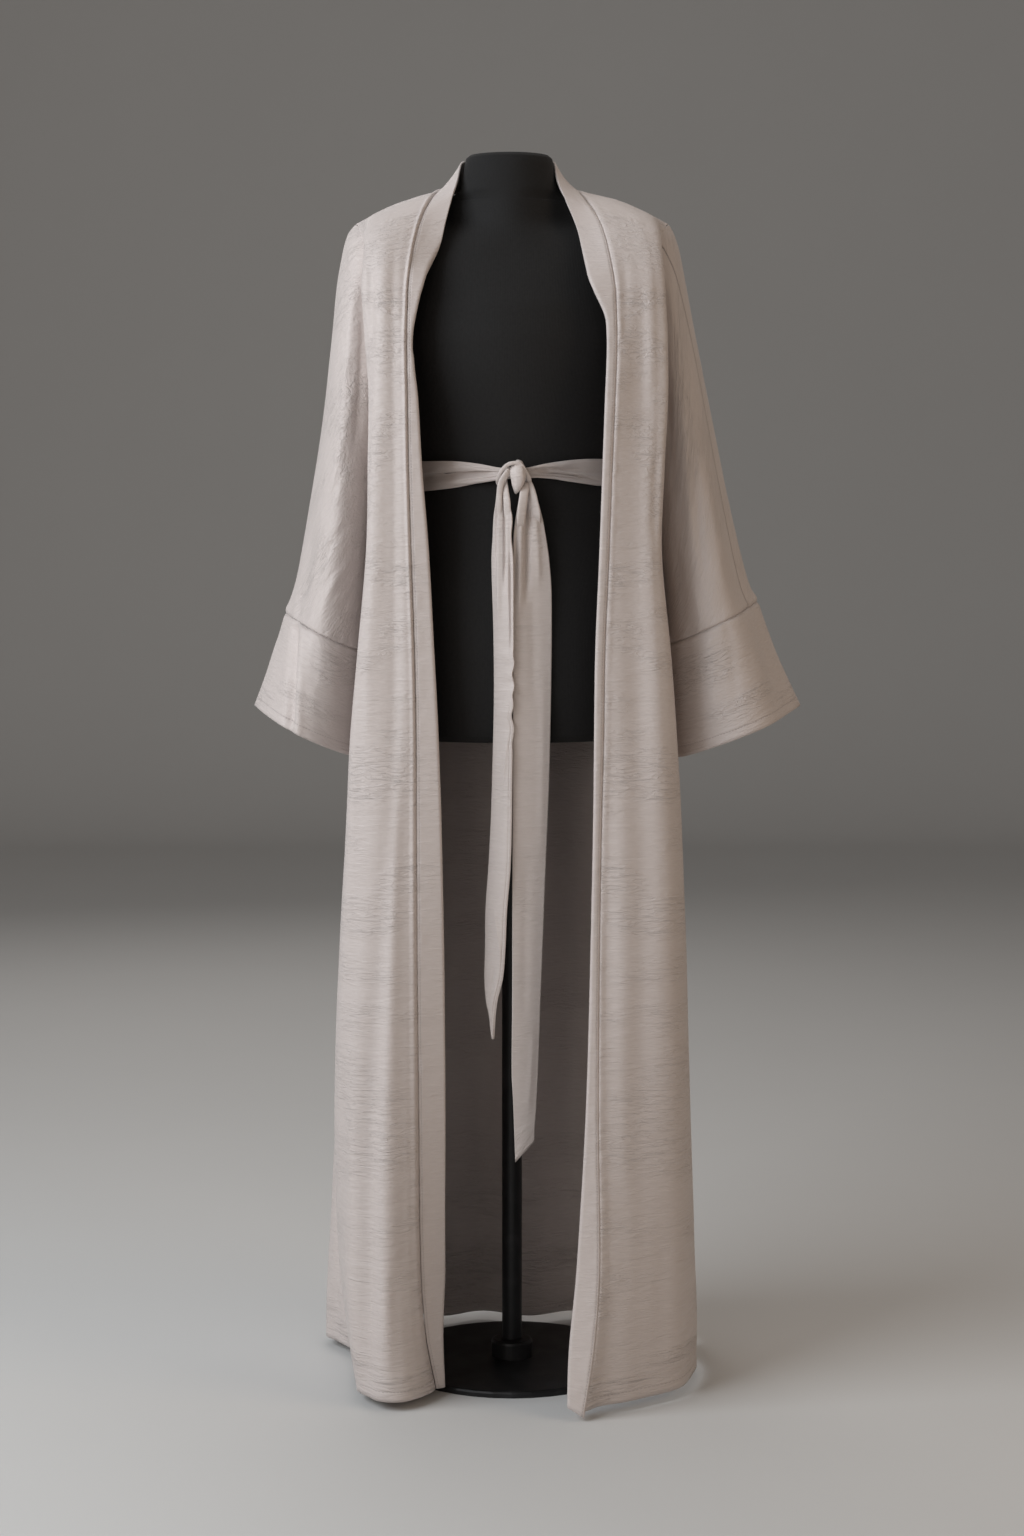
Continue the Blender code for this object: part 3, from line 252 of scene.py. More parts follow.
# ---- the band's turn round the neck, centre back to the shoulder seam, and down the front ----
# ---- "reach" is how far the band leans in and "rise" how far it stands up ----
NECK_STATIONS = 36
BandTurn = namedtuple("BandTurn", "z reach rise")
BAND_TURNS = rows_of(BandTurn, [
    (1.4560, .0215, .0335),
    (1.4510, .0262, .0270),
    (1.4450, .0290, .0200),
    (1.4330, .0308, .0143),
    (1.4150, .0315, .0090),
    (1.3800, .0318, .0040),
    (1.3300, .0300, .0010),
    (HEM, .0300, .0000),
])
SHOULDER_REACH = 0.0215
NECK_TURN = 1.25           # from the centre back, how soon the band leans in as far as that
NECK_BACK_LEAN = 0.004     # how far it leans forwards at the centre back
NECK_LEAN = 0.0092         # how far the left side of the neckline is drawn in towards the neck
FORM_LEAN = 0.0070         # and the left side of the form's neck with it
LEAN_UP = (1.392, 0.085)   # height at which that begins, and how far above it is whole
LEAN_ACROSS = (-0.020, 0.070)    # the same across, from the middle outwards
LEAN_OUTER = (0.135, 0.045)      # where it has faded out over the shoulder, and over what width
NECK_BAND = 0.0400         # the band stands a little taller round the neck
CHEST_FROM = {RIGHT: 1.318, LEFT: 1.2885}    # between these heights the band turns from its own
CHEST_TO = {RIGHT: 1.390, LEFT: 1.347}       # lean at the neck to the front's
BAND_HANGS = (1.405, 0.075)    # height at which the band begins to hang, and over what fall it does
BAND_BOW = 0.0012
BAND_LIFT = 0.0004
BAND_COLUMNS = 30

# ---- degrees by which the flat face of each hanging band turns inwards ----
BandFace = namedtuple("BandFace", "z right left")
BAND_FACES = rows_of(BandFace, [
    (1.40, 4, 4),
    (1.33, 0, -3),
    (1.20, 0, -9),
    (0.95, 0, -11),
    (0.85, 1, -11),
    (0.73, 4, -10),
    (0.60, 9, -8),
    (0.486, 15, -5),
    (0.365, 21, 0),
    (0.242, 29, 5),
    (0.120, 34, 8),
    (HEM, 34, 8),
])
BAND_TURNED = 100          # degrees by which its free edge is curled back
BAND_CURL = 0.0070         # length of cloth in that curl
CURL_START = 0.50          # share of the curl that lies within the band's reach
FLAT_LEAST = 0.0005
LEFT_TIP_DROP = 0.007      # the left band's end is slanted
LEFT_CORNER_RISE = 0.010
TIP_ROWS = 12              # rows over which it slants

# ---- dress form: half width, front and back of each level ----
Level = namedtuple("Level", "z half front back")
FORM = rows_of(Level, [
    (0.790, .1480, -.0920, .1000),
    (0.798, .1540, -.0980, .1060),
    (0.850, .1585, -.1040, .1130),
    (0.910, .1590, -.1050, .1160),
    (0.970, .1530, -.1020, .1110),
    (1.030, .1390, -.0950, .0990),
    (1.085, .1270, -.0885, .0890),
    (1.107, .1250, -.0875, .0870),
    (1.130, .1265, -.0890, .0880),
    (1.180, .1350, -.0960, .0930),
    (1.235, .1455, -.1060, .0990),
    (1.275, .1510, -.1090, .1020),
    (1.310, .1550, -.1020, .1030),
    (1.345, .1600, -.0850, .1010),
    (1.375, .1650, -.0700, .0950),
    (1.400, .1680, -.0630, .0860),
    (1.412, .1660, -.0605, .0800),
])
NECK = rows_of(Level, [
    (1.4460, .0668, -.0560, .0530),
    (1.4580, .0622, -.0550, .0520),
    (1.4720, .0600, -.0545, .0515),
    (1.4840, .0582, -.0535, .0505),
    (1.4915, .0562, -.0515, .0485),
    (1.4950, .0520, -.0475, .0445),
])
SHOULDER_LEVELS = (0.158, 0.145, 0.125, 0.105)    # half widths of the levels under the cloak's seam
SHOULDER_SPAN = (0.168, 0.072)    # the shoulder from the arm's side to the neck, with its front and
SHOULDER_FRONT = (-.0605, .0045)  # back at the arm's side and their change towards the neck
SHOULDER_BACK = (.080, -.027)
FORM_SEGMENTS = 120
FORM_STEPS = 4             # rings laid between two of its levels
NECK_CORE = 0.068          # half width of the neck's round
SHOULDER_FLANK = 0.30      # depth of the shoulders beside the neck, as a share of the neck's
FLANK_HEIGHT = (1.385, 0.035)    # where those flanks begin, and over what height and half width
FLANK_HALF = (0.060, 0.015)
SHOULDER_WALLS = 1.10      # the form lies this many of the cloth's walls below the cloak's seam
SHOULDER_SEAT = 0.0008     # and this far
TIP_DROP = 0.0100          # the form's shoulder falls away this much by its tip
TIP_FALLS = 0.13           # from this half width outwards
NECK_CLEAR = 0.0082        # and lies this much lower beside the neck
CLEAR_END = 0.128          # inside this half width, and over what width that grows
CLEAR_FADE = 0.023
SHOULDER_SMOOTHING = 14    # passes of smoothing where the shoulders run into the neck
RIM = 0.004                # rounding of the neck's top and the torso's lower end
FORM_SHRINK = 0.0006       # jersey under the cloth

# ---- belt ----
BELT_LIFT = 0.0034         # how far the belt's inner face lies off the form
KNOT_REACH = 0.0085        # how far the belt's two arms stand off the form where they meet the knot
KNOT_SPREAD = 0.038        # half width over which they rise to that
BELT_ROWS = 48
BELT_SEGMENTS = 240
BELT_PLY = 0.0012
BELT_BEFORE = 0.030        # depth over which its front edges take over from its plain back
BELT_TOP = 1.128
BELT_BOTTOM = 1.087
KNOT = Vector((0.004, -0.1054, 1.1050))
BeltEdge = namedtuple("BeltEdge", "x top bottom")    # the belt's two edges across the front
BELT_EDGES = rows_of(BeltEdge, [
    (-.160, 1.1280, 1.0870),
    (-.104, 1.1275, 1.0910),
    (-.062, 1.1270, 1.0960),
    (-.035, 1.1238, 1.1010),
    (-.011, 1.1192, 1.1050),
    (.016, 1.1195, 1.1070),
    (.045, 1.1255, 1.1060),
    (.075, 1.1294, 1.1025),
    (.105, 1.1300, 1.0980),
    (.160, 1.1285, 1.0890),
])

# ---- the belt's hanging ends: their two edges, across and in depth ----
Strip = namedtuple("Strip", "z left right left_y right_y")
RIGHT_END = rows_of(Strip, [
    (1.1000, -.0172, -.0096, -.1080, -.1110),
    (1.0956, -.0178, -.0098, -.1090, -.1130),
    (1.0780, -.0196, -.0040, -.1095, -.1150),
    (1.0612, -.0219, .0000, -.1080, -.1175),
    (1.0375, -.0231, -.0010, -.1072, -.1200),
    (1.0102, -.0245, .0012, -.1068, -.1225),
    (0.9260, -.0223, .0015, -.1066, -.1230),
    (0.8400, -.0217, .0008, -.1066, -.1230),
    (0.7478, -.0240, -.0004, -.1068, -.1225),
    (0.6900, -.0261, -.0010, -.1068, -.1225),
    (0.6418, -.0284, -.0024, -.1068, -.1225),
    (0.5898, -.0318, -.0065, -.1070, -.1215),
    (0.5460, -.0325, -.0084, -.1076, -.1208),
    (0.5083, -.0333, -.0114, -.1084, -.1200),
    (0.4816, -.0317, -.0178, -.1098, -.1180),
    (0.4608, -.0277, -.0202, -.1120, -.1160),
    (0.4335, -.0250, -.0217, -.1135, -.1150),
])
LEFT_END = rows_of(Strip, [
    (1.1000, .0120, .0215, -.1010, -.1020),
    (1.0956, .0105, .0245, -.1040, -.1030),
    (1.0854, .0089, .0290, -.1090, -.1040),
    (1.0612, .0047, .0359, -.1124, -.1035),
    (1.0375, .0024, .0403, -.1140, -.1032),
    (1.0102, .0018, .0443, -.1148, -.1036),
    (0.9670, .0012, .0473, -.1150, -.1040),
    (0.8400, .0012, .0466, -.1150, -.1036),
    (0.7478, .0007, .0446, -.1150, -.1036),
    (0.6038, .0005, .0391, -.1150, -.1040),
    (0.4816, .0005, .0346, -.1150, -.1045),
    (0.3920, -.0002, .0315, -.1148, -.1054),
    (0.3567, .0016, .0299, -.1146, -.1062),
    (0.3097, .0031, .0278, -.1140, -.1080),
    (0.2820, .0040, .0270, -.1140, -.1080),
])
LEFT_END_SLANT = 0.024     # the cut end rises this much from its inner to its outer corner
END_ROWS = 180
END_COLUMNS = 36
END_BOW = 0.0012
END_SLANTS = 0.9           # share of its length after which the cut end begins to slant
EDGE_SEAM = 0.0036         # seam of the belt's right end, in from its edge
EDGE_SEAM_TOP = 0.86
EDGE_GROOVE = 0.0011
EDGE_GROOVE_WIDTH = 0.0007
EDGE_CURL = 0.0016
RIPPLE = 0.00352           # scallops of that edge, with the pitch and seed of their two waves
RIPPLE_ACROSS = (0.017, 3.1)
RIPPLE_OUT = (0.014, 7.7)
RIPPLE_TOP = 0.92
RIPPLE_BOTTOM = 0.76

# ---- long hanging folds, each followed down its length: the place across as seen from the front,
# ---- the half width and the depth; below zero is a trough ----
Hang = namedtuple("Hang", "z x width depth")
FRONT_RIGHT_HANGS = [
    rows_of(Hang, [
        (1.400, -.1370, .0070, .0000),
        (1.337, -.1400, .0075, -.0026),
        (1.150, -.1395, .0090, -.0036),
        (0.964, -.1400, .0105, -.0042),
        (0.846, -.1400, .0125, -.0052),
        (0.727, -.1440, .0140, -.0046),
        (0.606, -.1530, .0160, -.0052),
        (0.486, -.1610, .0170, -.0074),
        (0.365, -.1690, .0175, -.0094),
        (0.242, -.1730, .0165, -.0106),
        (0.120, -.1740, .0150, -.0100),
        (0.012, -.1770, .0130, -.0060),
    ]),
    rows_of(Hang, [
        (0.640, -.1300, .0120, .0000),
        (0.486, -.1400, .0150, .0016),
        (0.365, -.1460, .0160, .0024),
        (0.242, -.1500, .0160, .0028),
        (0.120, -.1540, .0150, .0028),
        (0.012, -.1600, .0150, .0020),
    ]),
    rows_of(Hang, [
        (1.390, -.1650, .0070, .0000),
        (1.337, -.1680, .0080, -.0022),
        (1.200, -.1690, .0080, -.0030),
        (1.150, -.1690, .0080, -.0020),
        (1.050, -.1700, .0080, .0000),
    ]),
]
FRONT_LEFT_HANGS = [
    rows_of(Hang, [
        (1.300, .1500, .0120, .0000),
        (1.200, .1480, .0180, -.0020),
        (0.964, .1460, .0190, -.0038),
        (0.846, .1500, .0200, -.0050),
        (0.606, .1540, .0200, -.0046),
        (0.365, .1480, .0180, -.0040),
        (0.200, .1450, .0150, -.0020),
        (0.050, .1400, .0150, .0000),
    ]),
]

# ---- creases given one by one: from (x, z) to (to_x, to_z) as seen from the front, with their half
# ---- width and depth.  "bow" bends the line, "lean" makes one flank steeper, and "face" is -1 on
# ---- the front and 1 on the back ----
Crease = namedtuple("Crease", "x z to_x to_z width depth bow lean face", defaults=(0.0, 0.0, -1))
FRONT_RIGHT_CREASES = rows_of(Crease, [
    (-.1660, 1.380, -.1680, 1.240, .0060, -.0022, -.002),
    (-.1270, 1.385, -.1290, 1.270, .0050, -.0012, .001),
    (-.1780, 0.900, -.1840, 0.640, .0070, -.0012),
    (-.1990, 0.440, -.1960, 0.120, .0070, -.0016, -.003),
    (-.1400, 0.190, -.1330, 0.010, .0070, -.0014, -.002),
])
FRONT_LEFT_CREASES = rows_of(Crease, [
    (.1310, 1.380, .1330, 1.260, .0055, -.0012, .002),
    (.1620, 1.370, .1610, 1.180, .0065, .0014, .002),
    (.1720, 1.150, .1690, 1.020, .0060, -.0018, -.002),
    (.1300, 0.300, .1340, 0.100, .0080, -.0010, .002),
    (.1800, 0.240, .1760, 0.030, .0090, -.0012, .002),
])
BACK_CREASES = rows_of(Crease, [
    (-.075, 1.400, -.060, 1.180, .0100, -.0026, .003, 0, 1),
    (.068, 1.390, .052, 1.150, .0110, -.0022, -.004, 0, 1),
    (-.020, 1.410, -.012, 1.230, .0090, .0018, .002, 0, 1),
    (.030, 1.380, .022, 1.240, .0080, -.0014, .002, 0, 1),
    (-.130, 1.360, -.118, 1.140, .0080, .0022, -.003, 0, 1),
    (.134, 1.350, .120, 1.160, .0090, .0020, .003, 0, 1),
    (-.160, 1.240, -.120, 1.060, .0090, -.0028, .006, 0, 1),
    (.158, 1.220, .124, 1.040, .0080, -.0026, -.005, 0, 1),
    (-.100, 1.100, -.096, 0.700, .0090, .0024, .004, 0, 1),
    (.094, 1.080, .104, 0.660, .0100, -.0024, .003, 0, 1),
    (-.030, 1.020, -.040, 0.560, .0080, -.0022, -.003, 0, 1),
    (.040, 0.980, .036, 0.480, .0090, .0022, .002, 0, 1),
    (-.170, 0.760, -.196, 0.260, .0110, -.0030, .004, 0, 1),
    (.176, 0.720, .188, 0.240, .0100, .0026, -.004, 0, 1),
    (-.076, 0.440, -.090, 0.060, .0080, .0026, .003, 0, 1),
    (.070, 0.420, .062, 0.040, .0090, -.0026, .002, 0, 1),
    (-.205, 0.420, -.215, 0.060, .0070, -.0022, .002, 0, -1),
    (-.222, 0.330, -.228, 0.040, .0060, .0020, .001, 0, -1),
])
SLEEVE_RIGHT_CREASES = rows_of(Crease, [
    (-.188, 1.360, -.207, 1.170, .0060, .0024, .003),
    (-.178, 1.330, -.190, 1.120, .0055, -.0026, .002, .3),
    (-.216, 1.060, -.184, 1.240, .0070, .0022, .004),
    (-.230, 1.020, -.196, 1.140, .0045, -.0016, .003),
    (-.236, 0.990, -.190, 1.060, .0040, -.0014, .004),
    (-.222, 0.960, -.186, 1.020, .0045, .0014, .003),
    (-.244, 0.950, -.214, 1.080, .0050, .0018, .004),
    (-.252, 0.945, -.240, 1.060, .0060, -.0020, .002),
    (-.210, 0.940, -.184, 0.975, .0040, -.0012, .002),
    (-.232, 0.935, -.206, 1.000, .0035, .0012, .002),
    (-.2560, 0.985, -.2660, 0.905, .0040, -.0030, .001),
    (-.190, 1.300, -.214, 1.040, .0100, -.0024, .004, 0, 1),
    (-.206, 1.180, -.236, 0.960, .0080, .0024, -.004, 0, 1),
    (-.192, 1.080, -.214, 0.950, .0070, -.0020, .003, 0, 1),
])
SLEEVE_LEFT_CREASES = rows_of(Crease, [
    (.1900, 1.370, .2080, 1.200, .0060, .0022, -.003),
    (.1800, 1.340, .1960, 1.080, .0060, -.0030, -.002, -.3),
    (.1980, 1.250, .2160, 1.010, .0070, .0026, .003),
    (.2120, 1.180, .2360, 0.960, .0060, -.0022, -.003),
    (.2260, 1.130, .2560, 0.960, .0080, .0020, .003),
    (.1940, 1.040, .2100, 0.920, .0050, -.0018, .002),
    (.2180, 0.980, .2300, 0.920, .0040, .0016, .001),
    (.2480, 1.020, .2760, 0.950, .0050, -.0014, .002),
    (.1920, 1.300, .2180, 1.060, .0100, -.0024, -.004, 0, 1),
    (.2080, 1.200, .2480, 0.980, .0080, .0024, .004, 0, 1),
    (.1960, 1.090, .2200, 0.940, .0070, -.0020, -.003, 0, 1),
])
CUFF_RIGHT_CREASES = rows_of(Crease, [
    (-.2640, 0.965, -.2700, 0.770, .0055, -.0080, .001, .2),
    (-.2540, 0.955, -.2590, 0.765, .0055, .0040, .001),
    (-.2360, 0.930, -.2400, 0.850, .0060, -.0012, .001),
    (-.2100, 0.920, -.2160, 0.780, .0110, .0016, -.003),
    (-.2900, 0.920, -.3000, 0.830, .0070, .0012, .001),
    (-.2140, 0.930, -.2300, 0.800, .0090, -.0024, .003, 0, 1),
    (-.2420, 0.930, -.2600, 0.790, .0080, .0020, .002, 0, 1),
])
CUFF_LEFT_CREASES = rows_of(Crease, [
    (.2340, 0.945, .2440, 0.800, .0090, .0020, .002),
    (.2120, 0.930, .2160, 0.780, .0080, -.0016, -.002),
    (.2560, 0.955, .2700, 0.810, .0070, -.0016, .002),
    (.2820, 0.960, .3060, 0.840, .0080, .0014, .001),
    (.2200, 0.930, .2400, 0.800, .0090, -.0024, -.003, 0, 1),
    (.2560, 0.940, .2760, 0.800, .0080, .0020, .002, 0, 1),
])
BELT_CREASES = rows_of(Crease, [
    (-.1200, 1.1060, -.0100, 1.1132, .0032, -.0036, .0030, -.7),
    (-.1150, 1.1098, -.0080, 1.1140, .0013, -.0030, .0010),
    (-.0700, 1.1030, -.0080, 1.1098, .0012, -.0024, -.0006),
    (-.0950, 1.1015, -.0120, 1.1085, .0034, .0020, -.0010),
    (-.0900, 1.0960, -.0150, 1.1030, .0022, -.0014, -.0010, -.5),
    (-.1000, 1.1210, -.0150, 1.1172, .0026, .0014, .0010),
    (-.0520, 1.1195, -.0100, 1.1150, .0012, -.0012, .0004),
    (.0140, 1.1185, .1250, 1.0990, .0036, -.0042, .0030, -.7),
    (.0150, 1.1158, .1150, 1.1052, .0013, -.0030, .0012),
    (.0180, 1.1178, .0900, 1.1165, .0012, -.0022, .0010),
    (.0160, 1.1110, .1000, 1.1030, .0022, -.0030, .0012, -.6),
    (.0180, 1.1200, .0800, 1.1240, .0030, .0022, .0006),
    (.0480, 1.1180, .1100, 1.1120, .0018, -.0014, .0006, -.5),
    (.0500, 1.1060, .1200, 1.0950, .0024, .0014, .0000),
    (-.1200, 1.1100, .1200, 1.1050, .0034, -.0026, .0020, -.6, 1),
    (-.0600, 1.1180, .0800, 1.1160, .0028, .0014, .0010, 0, 1),
    (-.1000, 1.0980, .0300, 1.0960, .0026, .0012, .0010, 0, 1),
])
END_RIGHT_CREASES = rows_of(Crease, [
    (-.0152, 1.1000, -.0160, 0.9100, .0030, .0024, .0000),
    (-.0100, 1.1000, -.0098, 0.9700, .0013, -.0034, .0004, .3),
    (-.0176, 1.0950, -.0188, 0.9900, .0012, -.0020, .0000),
    (-.0052, 1.0760, -.0040, 0.9400, .0020, .0014, .0000),
    (-.0022, 1.0300, -.0018, 0.8900, .0011, -.0024, .0000),
    (-.0140, 0.8600, -.0170, 0.6200, .0040, -.0008, .0010),
    (-.0060, 0.8000, -.0120, 0.7400, .0016, .0012, .0010),
    (-.0240, 0.6000, -.0140, 0.5200, .0020, .0010, .0020),
    (-.0210, 0.5300, -.0280, 0.4700, .0020, -.0010, .0010),
])
END_LEFT_CREASES = rows_of(Crease, [
    (.0175, 1.0960, .0170, 0.9500, .0034, -.0056, .0006, .3),
    (.0110, 1.0900, .0085, 0.9300, .0034, .0026, .0000),
    (.0260, 1.0860, .0320, 0.9700, .0040, .0018, .0010),
    (.0060, 1.0600, .0040, 0.9700, .0016, -.0014, .0000),
    (.0220, 1.0100, .0260, 0.8200, .0060, -.0012, .0010),
    (.0380, 0.9000, .0330, 0.6200, .0050, .0008, .0010),
    (.0160, 0.7000, .0140, 0.4200, .0060, -.0008, .0010),
    (.0260, 0.4600, .0180, 0.3300, .0040, .0007, .0010),
])

# ---- the knot: strips of belt laid along their bends.  "twist" turns a strip about its own line,
# ---- in degrees at even stations, "plies" counts the folds round it, and each of its bends gives
# ---- x, y, z, width and thickness ----
TURN_SEGMENTS = 28
TURN_RINGS = 8             # rings from one bend to the next
PLY_DEPTH = 0.16
PLY_START = 0.8
Turn = namedtuple("Turn", "name plies twist bends")
KNOT_TURNS = [
    Turn("knot_front_turn", 3, (0, 0, 0, 0), [
        (.0060, -.1030, 1.1235, .0110, .0060),
        (.0066, -.1125, 1.1222, .0150, .0085),
        (.0074, -.1180, 1.1150, .0172, .0095),
        (.0078, -.1182, 1.1060, .0165, .0095),
        (.0064, -.1150, 1.0965, .0115, .0075),
        (.0045, -.1090, 1.0895, .0035, .0035),
    ]),
    Turn("knot_strap", 2, (20, 10, 0, 0, 10, 20), [
        (-.0165, -.1030, 1.1000, .0040, .0035),
        (-.0162, -.1105, 1.1062, .0046, .0042),
        (-.0110, -.1160, 1.1170, .0044, .0042),
        (-.0026, -.1190, 1.1238, .0042, .0040),
        (.0088, -.1190, 1.1238, .0042, .0040),
        (.0156, -.1160, 1.1150, .0046, .0042),
        (.0202, -.1095, 1.1050, .0050, .0042),
        (.0195, -.1000, 1.0985, .0040, .0035),
    ]),
    Turn("knot_inner_turn", 2, (30, 30, 10, 0, 0), [
        (-.0020, -.1100, 1.1180, .0050, .0035),
        (-.0040, -.1165, 1.1150, .0065, .0045),
        (-.0085, -.1180, 1.1090, .0072, .0046),
        (-.0128, -.1165, 1.1010, .0066, .0044),
        (-.0146, -.1145, 1.0900, .0060, .0040),
        (-.0150, -.1135, 1.0760, .0058, .0038),
        (-.0154, -.1110, 1.0640, .0054, .0034),
        (-.0154, -.1060, 1.0540, .0040, .0020),
    ]),
    Turn("knot_right_drop", 2, (-10, -20, -15, -10), [
        (-.0080, -.1050, 1.1080, .0050, .0030),
        (-.0085, -.1115, 1.1020, .0062, .0036),
        (-.0075, -.1140, 1.0910, .0072, .0036),
        (-.0060, -.1150, 1.0780, .0078, .0034),
        (-.0052, -.1140, 1.0620, .0070, .0028),
        (-.0050, -.1080, 1.0520, .0040, .0020),
    ]),
    Turn("knot_left_drop", 2, (0, 10, 20, 15), [
        (.0115, -.1040, 1.1020, .0060, .0040),
        (.0150, -.1110, 1.0965, .0088, .0050),
        (.0142, -.1145, 1.0880, .0092, .0046),
        (.0124, -.1150, 1.0740, .0094, .0042),
        (.0106, -.1140, 1.0560, .0086, .0032),
        (.0096, -.1080, 1.0420, .0050, .0020),
    ]),
    Turn("knot_outer_drop", 2, (-10, -15, -20, -15), [
        (.0160, -.1000, 1.1060, .0050, .0040),
        (.0200, -.1075, 1.1010, .0070, .0050),
        (.0225, -.1095, 1.0920, .0096, .0046),
        (.0250, -.1095, 1.0800, .0110, .0040),
        (.0280, -.1080, 1.0640, .0110, .0030),
        (.0300, -.1030, 1.0520, .0060, .0020),
    ]),
]

# ---- the tables of the wearer's two sides ----
FRONT_TABLE = {RIGHT: RIGHT_FRONT, LEFT: LEFT_FRONT}
FRONT_FOLDS = {RIGHT: RIGHT_FOLDS, LEFT: LEFT_FOLDS}
FRONT_HANGS = {RIGHT: FRONT_RIGHT_HANGS, LEFT: FRONT_LEFT_HANGS}
FRONT_CREASES = {RIGHT: FRONT_RIGHT_CREASES, LEFT: FRONT_LEFT_CREASES}
SLEEVE_TABLE = {RIGHT: RIGHT_SLEEVE, LEFT: LEFT_SLEEVE}
SLEEVE_HOLLOWS = {RIGHT: RIGHT_HOLLOWS, LEFT: LEFT_HOLLOWS}
SLEEVE_CREASES = {RIGHT: SLEEVE_RIGHT_CREASES, LEFT: SLEEVE_LEFT_CREASES}
CUFF_CREASES = {RIGHT: CUFF_RIGHT_CREASES, LEFT: CUFF_LEFT_CREASES}


# ---- reading the tables ----
def curve(keys, values, at):
    """Smooth curve through values at rising or falling keys, for one place or many."""
    keys, values, at = np.array(keys, float), np.array(values, float), np.asarray(at, float)
    if keys[0] > keys[-1]:
        keys, values = keys[::-1], values[::-1]
    last = len(keys) - 1
    index = np.arange(last + 1)
    low, high = np.maximum(index - 1, 0), np.minimum(index + 1, last)
    axes = (1,) * (values.ndim - 1)
    slope = (values[high] - values[low]) / (keys[high] - keys[low]).reshape((-1,) + axes)
    at = np.clip(at, keys[0], keys[-1])
    k = np.clip(np.searchsorted(keys, at) - 1, 0, last - 1)
    span = (keys[k + 1] - keys[k]).reshape(at.shape + axes)
    t = (at - keys[k]).reshape(at.shape + axes) / span
    return (
        values[k] * (2 * t**3 - 3 * t**2 + 1)
        + slope[k] * span * (t**3 - 2 * t**2 + t)
        + values[k + 1] * (3 * t**2 - 2 * t**3)
        + slope[k + 1] * span * (t**3 - t**2)
    )


def read(table, at, column):
    """One named column of a table, whose first column holds its keys."""
    return curve([row[0] for row in table], [getattr(row, column) for row in table], at)


def ease(x):
    x = np.clip(x, 0.0, 1.0)
    return x * x * (3 - 2 * x)


def unit(vectors):
    return vectors / np.maximum(np.linalg.norm(vectors, axis=-1, keepdims=True), 1e-12)


def close_at_ends(count, closeness):
    """Places from 0 to 1 that lie closer together beside the two seams."""
    even = np.linspace(0, 1, count + 1)
    return even - closeness * np.sin(2 * math.pi * even) / (2 * math.pi)


# ---- panels in plan ----
def fold_offset(folds, place, height):
    """How far the hanging folds push a panel out at these places and heights."""
    total = 0.0
    for fold in folds:
        fall = np.clip((fold.starts - height) / (fold.starts - HEM), 0.0, 1.0)
        centre = fold.top_place + (fold.hem_place - fold.top_place) * fall
        change = (1 - fold.hem_share) * ease((FOLD_CHANGE - height) / FOLD_CHANGE)
        depth = fold.depth * ease(fall * FOLD_GROWTH) * (1 - change)
        total = total + depth * np.exp(-(((place - centre) / fold.width) ** 2))
    return total


def plan_points(places, corners, folds, across, heights):
    """Rows of a panel, one for each height, pushed out in plan by its folds."""
    def at(where):
        return np.einsum("ck,rkd->rcd", curve(places, np.eye(len(places)), where), corners)

    before = np.maximum(across - PLAN_STEP, places[0])
    after = np.minimum(across + PLAN_STEP, places[-1])
    along = at(after) - at(before)
    outward = unit(np.stack([along[..., 1], -along[..., 0]], -1))
    here = at(across)
    outward = np.where((outward * here).sum(-1, keepdims=True) < 0, -outward, outward)
    edge = ease(np.minimum(across - places[0], places[-1] - across) / FOLD_MARGIN)
    push = fold_offset(folds, across[None, :], heights[:, None]) * edge
    flat = here + outward * push[..., None]
    return np.concatenate([flat, np.broadcast_to(heights[:, None, None], flat[..., :1].shape)], -1)


def rounded(a, b, swell):
    """Middle of the stretch from a to b in plan, swelled outwards."""
    out = unit(np.stack([a[:, 1] - b[:, 1], b[:, 0] - a[:, 0]], -1))
    middle = (a + b) / 2
    turn = np.where((out * middle).sum(-1) > 0, 1, -1)
    return middle + out * (swell * turn)[:, None]


def armhole_plan(heights, front):
    """The armhole in plan; front is -1 before the shoulder seam and 1 behind it."""
    across = np.maximum(0.0, 1 - ((heights - ARMHOLE_MIDDLE) / ARMHOLE_HALF) ** 2)
    depth = front * ARMHOLE_HALF_DEPTH * np.sqrt(across)
    return np.stack([read(RIGHT_FRONT, heights, "side_x"), depth], -1)


def plan_corner(table, heights, name):
    return np.stack([read(table, heights, name + "_x"), read(table, heights, name + "_y")], -1)


def front_plan(table, folds, across, heights):
    """Rows of the +X front, from the band's seam, place 0, to the side seam, place 1."""
    names = ("seam", "near", "front", "ridge", "tuck", "side")
    corners = [plan_corner(table, heights, name) for name in names]
    corners.insert(3, rounded(corners[2], corners[3], read(table, heights, "round")))
    above = heights > UNDERARM
    corners[-1][above] = armhole_plan(heights[above], -1)
    return plan_points(FRONT_PLACES, np.stack(corners, 1), folds, across, heights)


